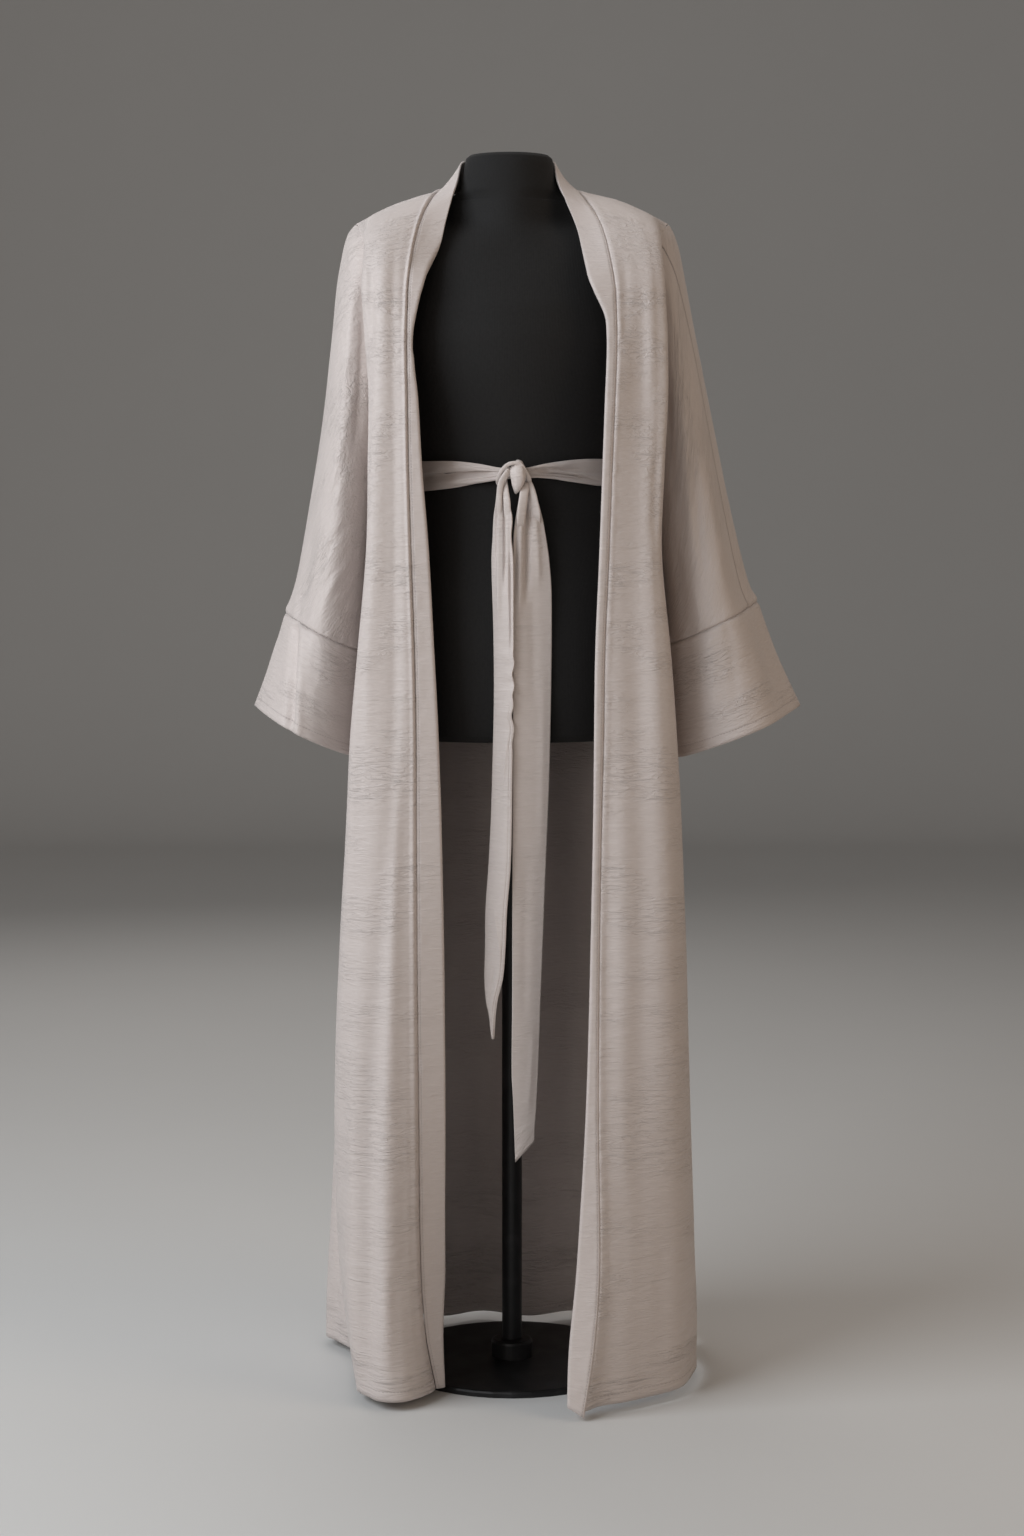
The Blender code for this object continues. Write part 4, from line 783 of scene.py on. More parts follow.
def back_plan(across, heights):
    """Rows of the back, from the wearer's right side seam, place 0, to the left one, place 1."""
    places = BACK_PLACES + tuple(1 - p for p in BACK_PLACES[-2::-1])
    turned = [f._replace(top_place=1 - f.top_place, hem_place=1 - f.hem_place) for f in BACK_FOLDS]
    tuck, middle = plan_corner(BACK, heights, "tuck"), plan_corner(BACK, heights, "mid")
    centre = np.stack([np.zeros(len(heights)), read(BACK, heights, "centre_y")], -1)
    above = heights > UNDERARM
    halves = []
    for side, word in SIDES:
        seam = plan_corner(FRONT_TABLE[side], heights, "side")
        seam[above] = armhole_plan(heights[above], 1)
        ridge = np.stack([read(BACK, heights, word + "_x"), read(BACK, heights, "ridge_y")], -1)
        swelled = rounded(ridge, middle, read(BACK, heights, "round"))
        corners = [seam, tuck, ridge, swelled, middle, centre]
        corners += [corner * (-1, 1) for corner in corners[-2::-1]]
        wanted = across[across <= 0.5] if side == RIGHT else 1 - across[across > 0.5]
        folds = BACK_FOLDS if side == RIGHT else turned
        half = plan_points(places, np.stack(corners, 1), folds, wanted, heights)
        halves.append(half * (side, 1, 1))
    return np.concatenate(halves, 1)


def shoulder_line(share):
    """The shoulder seam, 0 at the neck and 1 at the armhole."""
    share = np.asarray(share, float)[..., None]
    line = SHOULDER_NECK + (SHOULDER_TIP - SHOULDER_NECK) * share
    line[..., 2:] += SHOULDER_BOW * np.sin(math.pi * share)
    return line


def neckline(share):
    """The back neckline, 0 at the centre back and 1 at the shoulder seam."""
    turn = np.asarray(share, float) * math.pi / 2
    deep = np.cos(turn)
    x, y, z = SHOULDER_NECK
    return np.stack([x * np.sin(turn), y + NECK_DEPTH * deep, z - NECK_DROP * deep], -1)


def drawn_in(points, reach):
    """The left side of the neck drawn in, fading out over the shoulder and the chest."""
    x, z = points[..., 0], points[..., 2]
    share = ease((z - LEAN_UP[0]) / LEAN_UP[1]) * ease((x - LEAN_ACROSS[0]) / LEAN_ACROSS[1])
    share = share * ease((LEAN_OUTER[0] - x) / LEAN_OUTER[1])
    return points - share[..., None] * (reach, 0, 0)


def over_shoulder(top, bottom, straight):
    """A panel's way down over the shoulder: a quarter round mixed with a straight fall."""
    angle = np.linspace(0, math.pi / 2, CAP_ROWS + 1)[:, None]
    drop = np.broadcast_to(1 - np.cos(angle), (CAP_ROWS + 1, len(top)))
    out = (1 - straight) * np.sin(angle) + straight * drop
    share = np.stack([out, out, drop], -1)
    return top + (bottom - top) * share


def free_heights():
    """Rows below the shoulder cap: beside the armhole, then down the skirt."""
    beside = np.linspace(CAP_BOTTOM, UNDERARM, ARMHOLE_ROWS + 1)[1:]
    return np.concatenate([beside, np.linspace(UNDERARM, HEM, SKIRT_ROWS + 1)[1:]])


def front_points(side):
    """Rows of one front, from the band's seam to the side seam."""
    table, folds = FRONT_TABLE[side], FRONT_FOLDS[side]
    across = close_at_ends(FRONT_COLUMNS, FRONT_CLOSENESS)
    bottom = front_plan(table, folds, across, np.array([CAP_BOTTOM]))[0]
    cap = over_shoulder(shoulder_line(across), bottom, FRONT_CAP[0] + FRONT_CAP[1] * across)
    turn = np.linspace(0, math.pi, CAP_ROWS + 1)[:, None]
    cap[..., 0] += SEAM_BOW[side] * np.sin(turn) * (1 - across) ** 4
    hanging = front_plan(table, folds, across, free_heights())
    return np.concatenate([cap, hanging]) * (side, 1, 1)


def back_points():
    """Rows of the back, from the right side seam to the left one."""
    across = close_at_ends(BACK_COLUMNS, BACK_CLOSENESS)
    half = np.minimum(across, 1 - across)
    on_shoulder = half <= SHOULDER_END
    neck_share = np.clip(1 - (half - SHOULDER_END) / (0.5 - SHOULDER_END), 0, 1)
    seam = shoulder_line(np.clip(1 - half / SHOULDER_END, 0, 1))
    top = np.where(on_shoulder[:, None], seam, neckline(neck_share))
    top[:, 0] *= np.where(across < 0.5, -1, 1)
    straight = np.where(
        on_shoulder,
        BACK_CAP_SHOULDER[0] + BACK_CAP_SHOULDER[1] * half,
        BACK_CAP_NECK[0] + BACK_CAP_NECK[1] * (1 - neck_share),
    )
    cap = over_shoulder(top, back_plan(across, np.array([CAP_BOTTOM]))[0], straight)
    return np.concatenate([cap, back_plan(across, free_heights())])


# ---- band and sleeves ----
def band_points(side, front):
    """Rows from the centre back round the neck and down the front, each from seam to free edge."""
    share = np.arange(NECK_STATIONS) / NECK_STATIONS
    lean = ease(NECK_TURN * share)
    neck = neckline(share) * (side, 1, 1)
    neck_turn = np.stack([-side * SHOULDER_REACH * lean, -NECK_BACK_LEAN * (1 - lean)], -1)
    neck_rise = np.sqrt(NECK_BAND**2 - (neck_turn**2).sum(-1, keepdims=True))
    neck_turn = np.concatenate([neck_turn, neck_rise], -1)
    seam = front[:, 0]
    height = seam[:, 2]
    low = ease((height - CHEST_FROM[side]) / (CHEST_TO[side] - CHEST_FROM[side]))
    reach = read(BAND_TURNS, height, "reach") * low
    reach = reach + read(FRONT_TABLE[side], height, "reach") * (1 - low)
    rise = read(BAND_TURNS, height, "rise")
    back = np.sqrt(np.maximum(BAND_WIDTH**2 - reach**2 - rise**2, 0.0))
    turn = np.concatenate([neck_turn, np.stack([-side * reach, back, rise], -1)])
    seam = np.concatenate([neck, seam])
    run = np.gradient(seam, axis=0)
    bow = unit(np.cross(run, turn)) * BAND_BOW * side
    across = np.linspace(0, 1, BAND_COLUMNS + 1)[None, :, None]
    upright = turn[:, None] * across + bow[:, None] * np.sin(math.pi * across)
    standing = np.zeros(NECK_STATIONS)
    hanging = np.concatenate([standing, ease((BAND_HANGS[0] - height) / BAND_HANGS[1])])
    hanging = hanging[:, None, None]
    reach = np.concatenate([np.full(NECK_STATIONS, SHOULDER_REACH), reach])
    face = np.concatenate([standing, read(BAND_FACES, height, dict(SIDES)[side])])
    points = seam[:, None] + upright * (1 - hanging) + curled(reach, face) * (-side, 1, 1) * hanging
    if side == LEFT:
        points[-TIP_ROWS:] += slanted_end(points)
    return points


def curled(reach, face):
    """Section of the hanging band: a flat face this far across, then its free edge curled back."""
    way = np.linspace(0, BAND_WIDTH, BAND_COLUMNS + 1)
    flat = np.maximum(reach / np.cos(np.radians(face)) - CURL_START * BAND_CURL, FLAT_LEAST)
    face = face[:, None]
    curl = ease((way[None, :] - flat[:, None]) / BAND_CURL)
    angle = np.radians(face + (BAND_TURNED - face) * curl)
    step = BAND_WIDTH / BAND_COLUMNS
    middle = (angle[:, 1:] + angle[:, :-1]) / 2
    start = np.zeros((len(reach), 1))
    x = np.concatenate([start, np.cumsum(np.cos(middle), 1)], 1) * step
    y = np.concatenate([start, np.cumsum(np.sin(middle), 1)], 1) * step
    return np.stack([x, y, np.zeros_like(x)], -1)


def slanted_end(points):
    """Draws the last rows of the left band down at the seam and up at the free corner."""
    share = np.linspace(0, 1, BAND_COLUMNS + 1)
    drop = LEFT_TIP_DROP * (1 - share) - LEFT_CORNER_RISE * share
    way = unit(points[-1] - points[-TIP_ROWS])
    reach = np.linspace(0, 1, TIP_ROWS)[:, None, None]
    return way * (drop / -way[:, 2])[:, None] * reach


def sleeve_ring(table, hollows, t, angles):
    """One ring of the +X sleeve, angle 0 on the overarm and 180 under the arm."""
    shift = SLEEVE_SHIFT_Y * min(t, 1)
    over = np.array((read(table, t, "over_x"), shift, read(table, t, "over_z")))
    under = np.array((read(table, t, "under_x"), shift, read(table, t, "under_z")))
    middle, half = (over + under) / 2, (over - under) / 2
    sine, cosine = np.sin(angles), np.cos(angles)[:, None]
    closer = OVERARM_CLOSENESS * ease(t) * np.cos(angles / 2) ** 4
    fuller = INNER_FULLNESS * ease(INNER_GROWTH * t) * np.sin(angles / 2) ** 4
    across = np.zeros((len(angles), 3))
    across[:, 1] = -np.sign(sine) * np.abs(sine) ** (1 + closer - fuller) * read(table, t, "depth")
    push = np.zeros(len(angles))
    for hollow in hollows:
        away = (np.degrees(angles) - hollow.angle + 180) % 360 - 180
        grown = ease((t - hollow.starts) / HOLLOW_GROWTH)
        push += hollow.depth * np.exp(-((away / hollow.width) ** 2)) * grown
    normal = unit(unit(across) * np.abs(sine)[:, None] + unit(half) * cosine)
    return middle + half * cosine + across + normal * push[:, None]


def sleeve_points(side, loop):
    """Rings of the sleeve and of its cuff.

    loop is the armhole, from the shoulder seam round the front.
    """
    table, hollows = SLEEVE_TABLE[side], SLEEVE_HOLLOWS[side]
    angles = np.arccos(np.clip((loop[:, 2] - ARMHOLE_MIDDLE) / ARMHOLE_HALF, -1, 1))
    count = len(loop)
    later = np.arange(count) > count // 2
    angles[later] = 2 * math.pi - angles[later]
    even = np.arange(count) * 2 * math.pi / count
    mirrored = np.abs(loop[:, :1]) * (1, 0, 0) + loop * (0, 1, 1)
    plain = sleeve_ring(table, hollows, 0.0, angles)
    sleeve_steps = np.linspace(0, 1, SLEEVE_ROWS + 1) ** SLEEVE_CLOSENESS
    cuff_steps = 1 + np.linspace(0, 1, CUFF_ROWS + 1)[1:]
    rings = []
    for t in np.concatenate([sleeve_steps, cuff_steps]):
        ring = sleeve_ring(table, hollows, t, angles + (even - angles) * ease(t))
        keep = max(0.0, 1 - t / ARMHOLE_BLEND) ** 2
        rings.append(ring + (mirrored - plain) * keep)
    rings = np.array(rings) * (side, 1, 1)
    return rings[: SLEEVE_ROWS + 1], rings[SLEEVE_ROWS:]


# ---- laying the cloth ----
def surface_normals(points, ring, facing):
    """Normals of a grid of points; facing gives a rough way outwards for each."""
    rows, columns = np.arange(points.shape[0]), np.arange(points.shape[1])
    if ring:
        left, right = np.roll(points, 1, 1), np.roll(points, -1, 1)
    else:
        left = points[:, np.maximum(columns - 1, 0)]
        right = points[:, np.minimum(columns + 1, columns[-1])]
    above, below = points[np.maximum(rows - 1, 0)], points[np.minimum(rows + 1, rows[-1])]
    normals = unit(np.cross(right - left, below - above))
    return -normals if (normals * facing(points)).sum() < 0 else normals


def cloth_measure(points, ring):
    """Metres along the cloth: across from the first column, and up from the last row."""
    closed = np.concatenate([points, points[:, :1]], 1) if ring else points
    across = np.linalg.norm(np.diff(closed, axis=1), axis=-1).mean(0)
    up = np.linalg.norm(np.diff(points, axis=0), axis=-1).mean(1)
    return np.append(0, np.cumsum(across)), np.append(np.cumsum(up[::-1])[::-1], 0)


def creased(creases, points, normals):
    """How far the listed creases lift or sink each point."""
    total = np.zeros(points.shape[:2])
    seen = points[..., [0, 2]]
    for crease in creases:
        start, end = np.array((crease.x, crease.z)), np.array((crease.to_x, crease.to_z))
        length = np.linalg.norm(end - start)
        along = (end - start) / length
        t = (seen - start) @ along / length
        away = (seen - start) @ np.array((-along[1], along[0])) - crease.bow * 4 * t * (1 - t)
        width = crease.width * (1 + crease.lean * np.sign(away))
        taper = ease(t / CREASE_TAPER) * ease((1 - t) / CREASE_TAPER)
        facing = ease(normals[..., 1] * crease.face / CREASE_TURN)
        total += crease.depth * np.exp(-((away / width) ** 2)) * taper * facing
    return total


def hung(hangs, points, normals):
    """How far the long folds lift or sink each point of a front."""
    total = np.zeros(points.shape[:2])
    x, height = points[..., 0], points[..., 2]
    facing = ease(-normals[..., 1] / CREASE_TURN)
    for hang in hangs:
        inside = (height < hang[0].z) & (height > hang[-1].z - HANG_SLACK)
        place, width, depth = (read(hang, height, name) for name in ("x", "width", "depth"))
        total += depth * np.exp(-(((x - place) / width) ** 2)) * facing * inside
    return total


def edge_distances(across, up, columns):
    """Distance of each point from the piece's four edges."""
    u, v = across[:columns], up
    return {
        "start": np.broadcast_to(u[None, :], (len(v), columns)),
        "end": np.broadcast_to((across[-1] - u)[None, :], (len(v), columns)),
        "top": np.broadcast_to((up[0] - v)[:, None], (len(v), columns)),
        "bottom": np.broadcast_to(v[:, None], (len(v), columns)),
    }


def waver(lengths, pitch, seed):
    """An uneven wave along an edge."""
    return np.array([noise.noise(Vector((x / pitch, seed, 0.37 * seed))) for x in lengths])


def uneven(across, up, seed):
    """Soft unevenness over a whole piece, as no hanging cloth is quite smooth."""
    wide, tall = UNEVEN_PITCH
    return np.array([[noise.noise(Vector((u / wide, v / tall, seed))) for u in across] for v in up])


def grid_mesh(points, normals, across, up, ring):
    """A grid moved onto the points, with the cloth's own measure as its UV map."""
    rows, columns = points.shape[:2]
    spans = columns if ring else columns - 1
    bm = bmesh.new()
    uv = bm.loops.layers.uv.new("cloth")
    bmesh.ops.create_grid(bm, x_segments=spans, y_segments=rows - 1, size=0.5)
    places = {}
    for vert in bm.verts:
        places[vert] = round((0.5 - vert.co.y) * (rows - 1)), round((vert.co.x + 0.5) * spans)
    for face in bm.faces:
        for loop in face.loops:
            r, c = places[loop.vert]
            loop[uv].uv = (across[c], up[r])
    for vert, (r, c) in places.items():
        vert.co = points[r, c % columns]
    if ring:
        bmesh.ops.remove_doubles(bm, verts=bm.verts[:], dist=1e-6)
    bm.normal_update()
    outwards = 0.0
    for face in bm.faces:
        if face.verts[0] in places:
            r, c = places[face.verts[0]]
            outwards += face.normal.dot(Vector(normals[r, c % columns]))
    if outwards < 0:
        bmesh.ops.reverse_faces(bm, faces=bm.faces[:])
    return bm


def make_piece(name, bm, material, replaced=()):
    mesh = bpy.data.meshes.new(name)
    bm.to_mesh(mesh)
    bm.free()
    mesh.shade_smooth()
    mesh.materials.append(material)
    piece = bpy.data.objects.new(name, mesh)
    bpy.context.scene.collection.objects.link(piece)
    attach(piece, "root")
    if replaced:
        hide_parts(*replaced)
    return piece


def wall(piece, thickness):
    solid = piece.modifiers.new("wall", "SOLIDIFY")
    solid.thickness = thickness
    solid.offset = -1
    return piece


def by_shoulder_tip(points, reach):
    """1 where the shoulder seam meets the armhole, fading out at this distance."""
    x, z = np.abs(points[..., 0]) - SHOULDER_TIP[0], points[..., 2] - SHOULDER_TIP[2]
    return np.exp(-((x / reach) ** 2 + (z / reach) ** 2))


def lay_cloth(
    name, solid, points, thickness, material, facing, creases=(), seams=None, ring=False, lift=0.0,
    rough=0.0006, seed=1.0, slot="cloak_cloth", hangs=(), pucker=PUCKER, bead=0.0,
):
    """One cloth piece: its surface, creased, rolled in at its seams and given its wall.

    seams gives the strength of the seam along each edge that has one, and bead raises the turned
    seam allowance that shows as a roll beside the first column.
    """
    if slot == "cloak_cloth":
        points = drawn_in(points, NECK_LEAN)
    normals = surface_normals(points, ring, facing)
    across, up = cloth_measure(points, ring)
    columns = points.shape[1]
    edges = edge_distances(across, up, columns)
    calm = 1 - TIP_CALM * by_shoulder_tip(points, TIP_REACH)
    free = np.ones(points.shape[:2])
    roll = np.zeros(points.shape[:2])
    for n, (edge, strength) in enumerate((seams or {}).items()):
        away = edges[edge]
        free = free * ease(away / SEAM_STILL)
        roll -= SEAM_ROLL * strength * np.exp(-((away / SEAM_ROLL_WIDTH) ** 2)) * calm
        level = edge in ("top", "bottom")
        gathers = waver(across[:columns] if level else up, PUCKER_PITCH, seed + 3 * n)
        gathers = gathers[None, :] if level else gathers[:, None]
        beside = np.exp(-(((away - PUCKER_PLACE) / PUCKER_WIDTH) ** 2))
        roll += pucker * strength * gathers * beside
    if bead:
        swollen = 1 + BEAD_WAVER * waver(up, BEAD_PITCH, seed)[:, None]
        roll += bead * np.exp(-(((edges["start"] - BEAD_PLACE) / BEAD_WIDTH) ** 2)) * swollen
    push = (creased(creases, points, normals) + hung(hangs, points, normals)) * free + roll + lift
    if slot == "cloak_cloth":
        push += SHOULDER_SWELL * by_shoulder_tip(points, SWELL_REACH)
    push += rough * uneven(across[:columns], up, seed) * free
    points = points + normals * push[..., None]
    bm = grid_mesh(points, normals, across, up, ring)
    return wall(make_piece(name, bm, material, (solid,)), thickness)


def outwards(points):
    return points * (1, 1, 0)


def forwards(points):
    return np.broadcast_to(np.array((0.0, -1.0, 0.0)), points.shape)


def band_facing(points):
    return points * (0.3, 1, 0)


def around(points):
    """Away from each ring's own middle."""
    return points - points.mean(1, keepdims=True)


# ---- finishes ----
CLOTH_LIGHT = (0.58, 0.516, 0.492)
CLOTH_DEEP = (0.515, 0.452, 0.428)
# painted light: the belt is the cloak's own crepe, painted paler to make up for the shade it lies in behind
# the fronts
BELT_LIGHT_PAINTED_PALER = (0.62, 0.552, 0.526)
BELT_DEEP_PAINTED_PALER = (0.545, 0.481, 0.455)
# stitch colour; in the overarm seam's groove it is also painted shade
THREAD_AND_SEAM_SHADE = (0.40, 0.345, 0.330)
JERSEY = (0.0080, 0.0075, 0.0075)
JERSEY_PALER = 1.9
POWDER_COAT = (0.016, 0.016, 0.017)
WORN_PALER = 2.4
STUDIO = (0.62, 0.61, 0.60)
STUDIO_DEEPER = 0.97

# Marks of each kind in a metre of crepe, along and across its grain, with their heights in
# millimetres and their share of its tone.  The fine creases' share is painted shade, which
# darkens the colour along each crease.
YARNS, YARN_HEIGHT, YARN_TONE = (90, 560, 1), 0.12, 0.9
SLUBS, SLUB_HEIGHT, SLUB_TONE = (34, 240, 1), 0.14, 0.25
SWELLS, SWELL_HEIGHT = (16, 74, 1), 2.00
WRINKLES, WRINKLE_HEIGHT = (38, 178, 1), 2.80
# the last number of the fine creases is painted shade, darkening the colour along them
FINE_CREASES, FINE_CREASE_HEIGHT, FINE_CREASE_PAINTED_SHADE = (24, 140, 1), 0.60, 0.12
PATCHES, BETWEEN_PATCHES = (9, 20, 1), 0.35    # the wrinkles come in patches, weaker in between
HEM_CRINKLE = (0.02, 0.30)    # crinkles are stronger below these heights
STITCH = 0.0034               # one stitch and its gap
STITCH_HEIGHT = 0.25
THREAD_EDGE = (0.0003, 0.0006)
GROOVE_REACH = 0.0018
# painted shade: a groove deeper than a plain row's is darkened this much for each millimetre beyond
GROOVE_SHADE = 0.55           # how much a deeper groove darkens
RIB = 0.0016                  # width of the jersey's ribs
JERSEY_FUZZ = (260, 260, 1)
CREPE_SHEEN = {
    "Specular IOR Level": 0.38,
    "Sheen Weight": 0.22,
    "Sheen Roughness": 0.45,
    "Sheen Tint": (1.0, 0.97, 0.95, 1),
}
JERSEY_SHEEN = {
    "Roughness": 0.82,
    "Specular IOR Level": 0.25,
    "Sheen Weight": 0.05,
    "Sheen Roughness": 0.5,
}


def node(tree, kind, **settings):
    made = tree.nodes.new(kind)
    for setting, value in settings.items():
        setattr(made, setting, value)
    return made


def maths(tree, operation, first, second=None, clamp=False):
    """A Math node on sockets or plain numbers; returns its output."""
    made = node(tree, "ShaderNodeMath", operation=operation, use_clamp=clamp)
    for socket, value in zip(made.inputs, (first, second)):
        if isinstance(value, bpy.types.NodeSocket):
            tree.links.new(value, socket)
        elif value is not None:
            socket.default_value = value
    return made.outputs[0]


def plus(tree, first, second):
    return maths(tree, "ADD", first, second)


def less(tree, first, second, clamp=False):
    return maths(tree, "SUBTRACT", first, second, clamp)


def times(tree, first, second):
    return maths(tree, "MULTIPLY", first, second)


def mapped(tree, vector, scale, turn=0.0):
    made = node(tree, "ShaderNodeMapping")
    made.inputs["Scale"].default_value = scale
    made.inputs["Rotation"].default_value = (0, 0, math.radians(turn))
    tree.links.new(vector, made.inputs["Vector"])
    return made.outputs["Vector"]


def noise_of(tree, vector, detail=2.0, roughness=0.5, distortion=0.0):
    made = node(tree, "ShaderNodeTexNoise", noise_dimensions="2D")
    made.inputs["Scale"].default_value = 1.0
    made.inputs["Detail"].default_value = detail
    made.inputs["Roughness"].default_value = roughness
    made.inputs["Distortion"].default_value = distortion
    tree.links.new(vector, made.inputs["Vector"])
    return made.outputs[0]


def solid_noise(tree, place, scale, detail):
    """Noise through a solid piece."""
    made = node(tree, "ShaderNodeTexNoise")
    made.inputs["Scale"].default_value = scale
    made.inputs["Detail"].default_value = detail
    tree.links.new(place, made.inputs["Vector"])
    return made.outputs[0]


def spread(tree, value, low, high, to_low=0.0, to_high=1.0):
    made = node(tree, "ShaderNodeMapRange", interpolation_type="SMOOTHSTEP")
    ends = {"From Min": low, "From Max": high, "To Min": to_low, "To Max": to_high}
    for name, number in ends.items():
        made.inputs[name].default_value = number
    tree.links.new(value, made.inputs["Value"])
    return made.outputs["Result"]


def effect(name, inputs, outputs):
    """An empty shared node group with these sockets, and its two end nodes."""
    group = bpy.data.node_groups.new(name, "ShaderNodeTree")
    for label, kind, value in inputs:
        socket = group.interface.new_socket(label, in_out="INPUT", socket_type=kind)
        if value is not None:
            socket.default_value = value
    for label, kind in outputs:
        group.interface.new_socket(label, in_out="OUTPUT", socket_type=kind)
    return group, node(group, "NodeGroupInput"), node(group, "NodeGroupOutput")


def crepe_grain():
    """Crosswise slubs, crinkles and painted crease shade of the crepe.  Height is in millimetres."""
    group, given, out = effect(
        "crepe_grain",
        [("Cloth", "NodeSocketVector", None), ("Crinkle", "NodeSocketFloat", 0.4)],
        [("Tone and crease shade", "NodeSocketFloat"), ("Height", "NodeSocketFloat")],
    )
    cloth, crinkle = given.outputs["Cloth"], given.outputs["Crinkle"]

    def marks(in_a_metre, *look):
        return noise_of(group, mapped(group, cloth, in_a_metre), *look)

    yarn = marks(YARNS, 2.0, 0.55)
    slub = spread(group, marks(SLUBS, 2.0), 0.54, 0.74)
    patch = spread(group, marks(PATCHES, 1.0), 0.40, 0.62)
    swell = marks(SWELLS, 2.0, 0.5, 0.8)
    wrinkle = marks(WRINKLES, 2.0, 0.55, 1.2)
    patchy = plus(group, times(group, patch, 1 - BETWEEN_PATCHES), BETWEEN_PATCHES)
    wrinkle = times(group, wrinkle, patchy)
    line = maths(group, "ABSOLUTE", less(group, marks(FINE_CREASES, 2.5, 0.5, 0.9), 0.5))
    crease = times(group, spread(group, line, 0.0, 0.045, 1.0, 0.0), patch)
    relief = plus(group, times(group, swell, SWELL_HEIGHT), times(group, wrinkle, WRINKLE_HEIGHT))
    relief = plus(group, relief, times(group, crease, FINE_CREASE_HEIGHT))
    relief = times(group, relief, crinkle)
    fine = plus(group, times(group, yarn, YARN_HEIGHT), times(group, slub, SLUB_HEIGHT))
    group.links.new(plus(group, relief, fine), out.inputs["Height"])
    tone = plus(group, times(group, yarn, YARN_TONE), times(group, slub, SLUB_TONE))
    # painted shade: the colour is darkened along the fine creases
    shade = times(group, times(group, crease, crinkle), FINE_CREASE_PAINTED_SHADE)
    group.links.new(less(group, tone, shade, True), out.inputs["Tone and crease shade"])
    return group


def stitch_row():
    """A sewn row: the cloth drawn in along a line, its stitches and painted groove shade.  Height is in
    millimetres.
    """
    group, given, out = effect(
        "stitch_row",
        [
            ("Away", "NodeSocketFloat", 0.0),
            ("Along", "NodeSocketFloat", 0.0),
            ("Row", "NodeSocketFloat", HEM_FOLD),
            ("Groove", "NodeSocketFloat", PLAIN_GROOVE),
        ],
        [("Height", "NodeSocketFloat"), ("Thread and groove shade", "NodeSocketFloat")],
    )
    depth = given.outputs["Groove"]
    away = maths(group, "ABSOLUTE", less(group, given.outputs["Away"], given.outputs["Row"]))
    groove = spread(group, away, 0.0, GROOVE_REACH, 1.0, 0.0)
    stitch = maths(group, "FRACT", maths(group, "DIVIDE", given.outputs["Along"], STITCH))
    start, end = spread(group, stitch, 0.08, 0.2), spread(group, stitch, 0.72, 0.86, 1.0, 0.0)
    stitch = times(group, start, end)
    thread_and_groove_shade = times(group, stitch, spread(group, away, *THREAD_EDGE, 1.0, 0.0))
    height = less(group, times(group, thread_and_groove_shade, STITCH_HEIGHT), times(group, groove, depth))
    # painted shade: a groove deeper than a plain row's is darkened, besides its stitches
    deep = times(group, less(group, depth, PLAIN_GROOVE), GROOVE_SHADE)
    thread_and_groove_shade = maths(group, "MAXIMUM", thread_and_groove_shade, times(group, groove, deep))
    group.links.new(height, out.inputs["Height"])
    group.links.new(thread_and_groove_shade, out.inputs["Thread and groove shade"])
    return group


def placed(tree, group, **sockets):
    made = node(tree, "ShaderNodeGroup")
    made.node_tree = group
    for name, value in sockets.items():
        if isinstance(value, bpy.types.NodeSocket):
            tree.links.new(value, made.inputs[name])
        else:
            made.inputs[name].default_value = value
    return made


def new_material(name):
    material = bpy.data.materials.new(name)
    material.use_nodes = True
    return material, material.node_tree, material.node_tree.nodes["Principled BSDF"]


def blend_colour(tree, factor, first, second):
    made = node(tree, "ShaderNodeMix", data_type="RGBA")
    tree.links.new(factor, made.inputs[0])
    for socket, colour in ((made.inputs[6], first), (made.inputs[7], second)):
        if isinstance(colour, bpy.types.NodeSocket):
            tree.links.new(colour, socket)
        else:
            socket.default_value = (*colour, 1)
    return made.outputs[2]


def raised(tree, shader, height):
    """Turns a height in millimetres into the shader's normal."""
    bump = node(tree, "ShaderNodeBump")
    bump.inputs["Strength"].default_value = 1.0
    bump.inputs["Distance"].default_value = 0.001
    tree.links.new(height, bump.inputs["Height"])
    tree.links.new(bump.outputs["Normal"], shader.inputs["Normal"])


def cloth_places(tree):
    """The piece's own measure of its cloth: the whole of it, across and up."""
    measure = node(tree, "ShaderNodeUVMap", uv_map="cloth")
    parts = node(tree, "ShaderNodeSeparateXYZ")
    tree.links.new(measure.outputs["UV"], parts.inputs[0])
    return measure.outputs["UV"], parts.outputs["X"], parts.outputs["Y"]


def set_plain(shader, values):
    """Numbers that are the same all over, straight on the shader's own sockets."""
    for socket, value in values.items():
        shader.inputs[socket].default_value = value


def paler(colour, times_over):
    return tuple(times_over * c for c in colour)


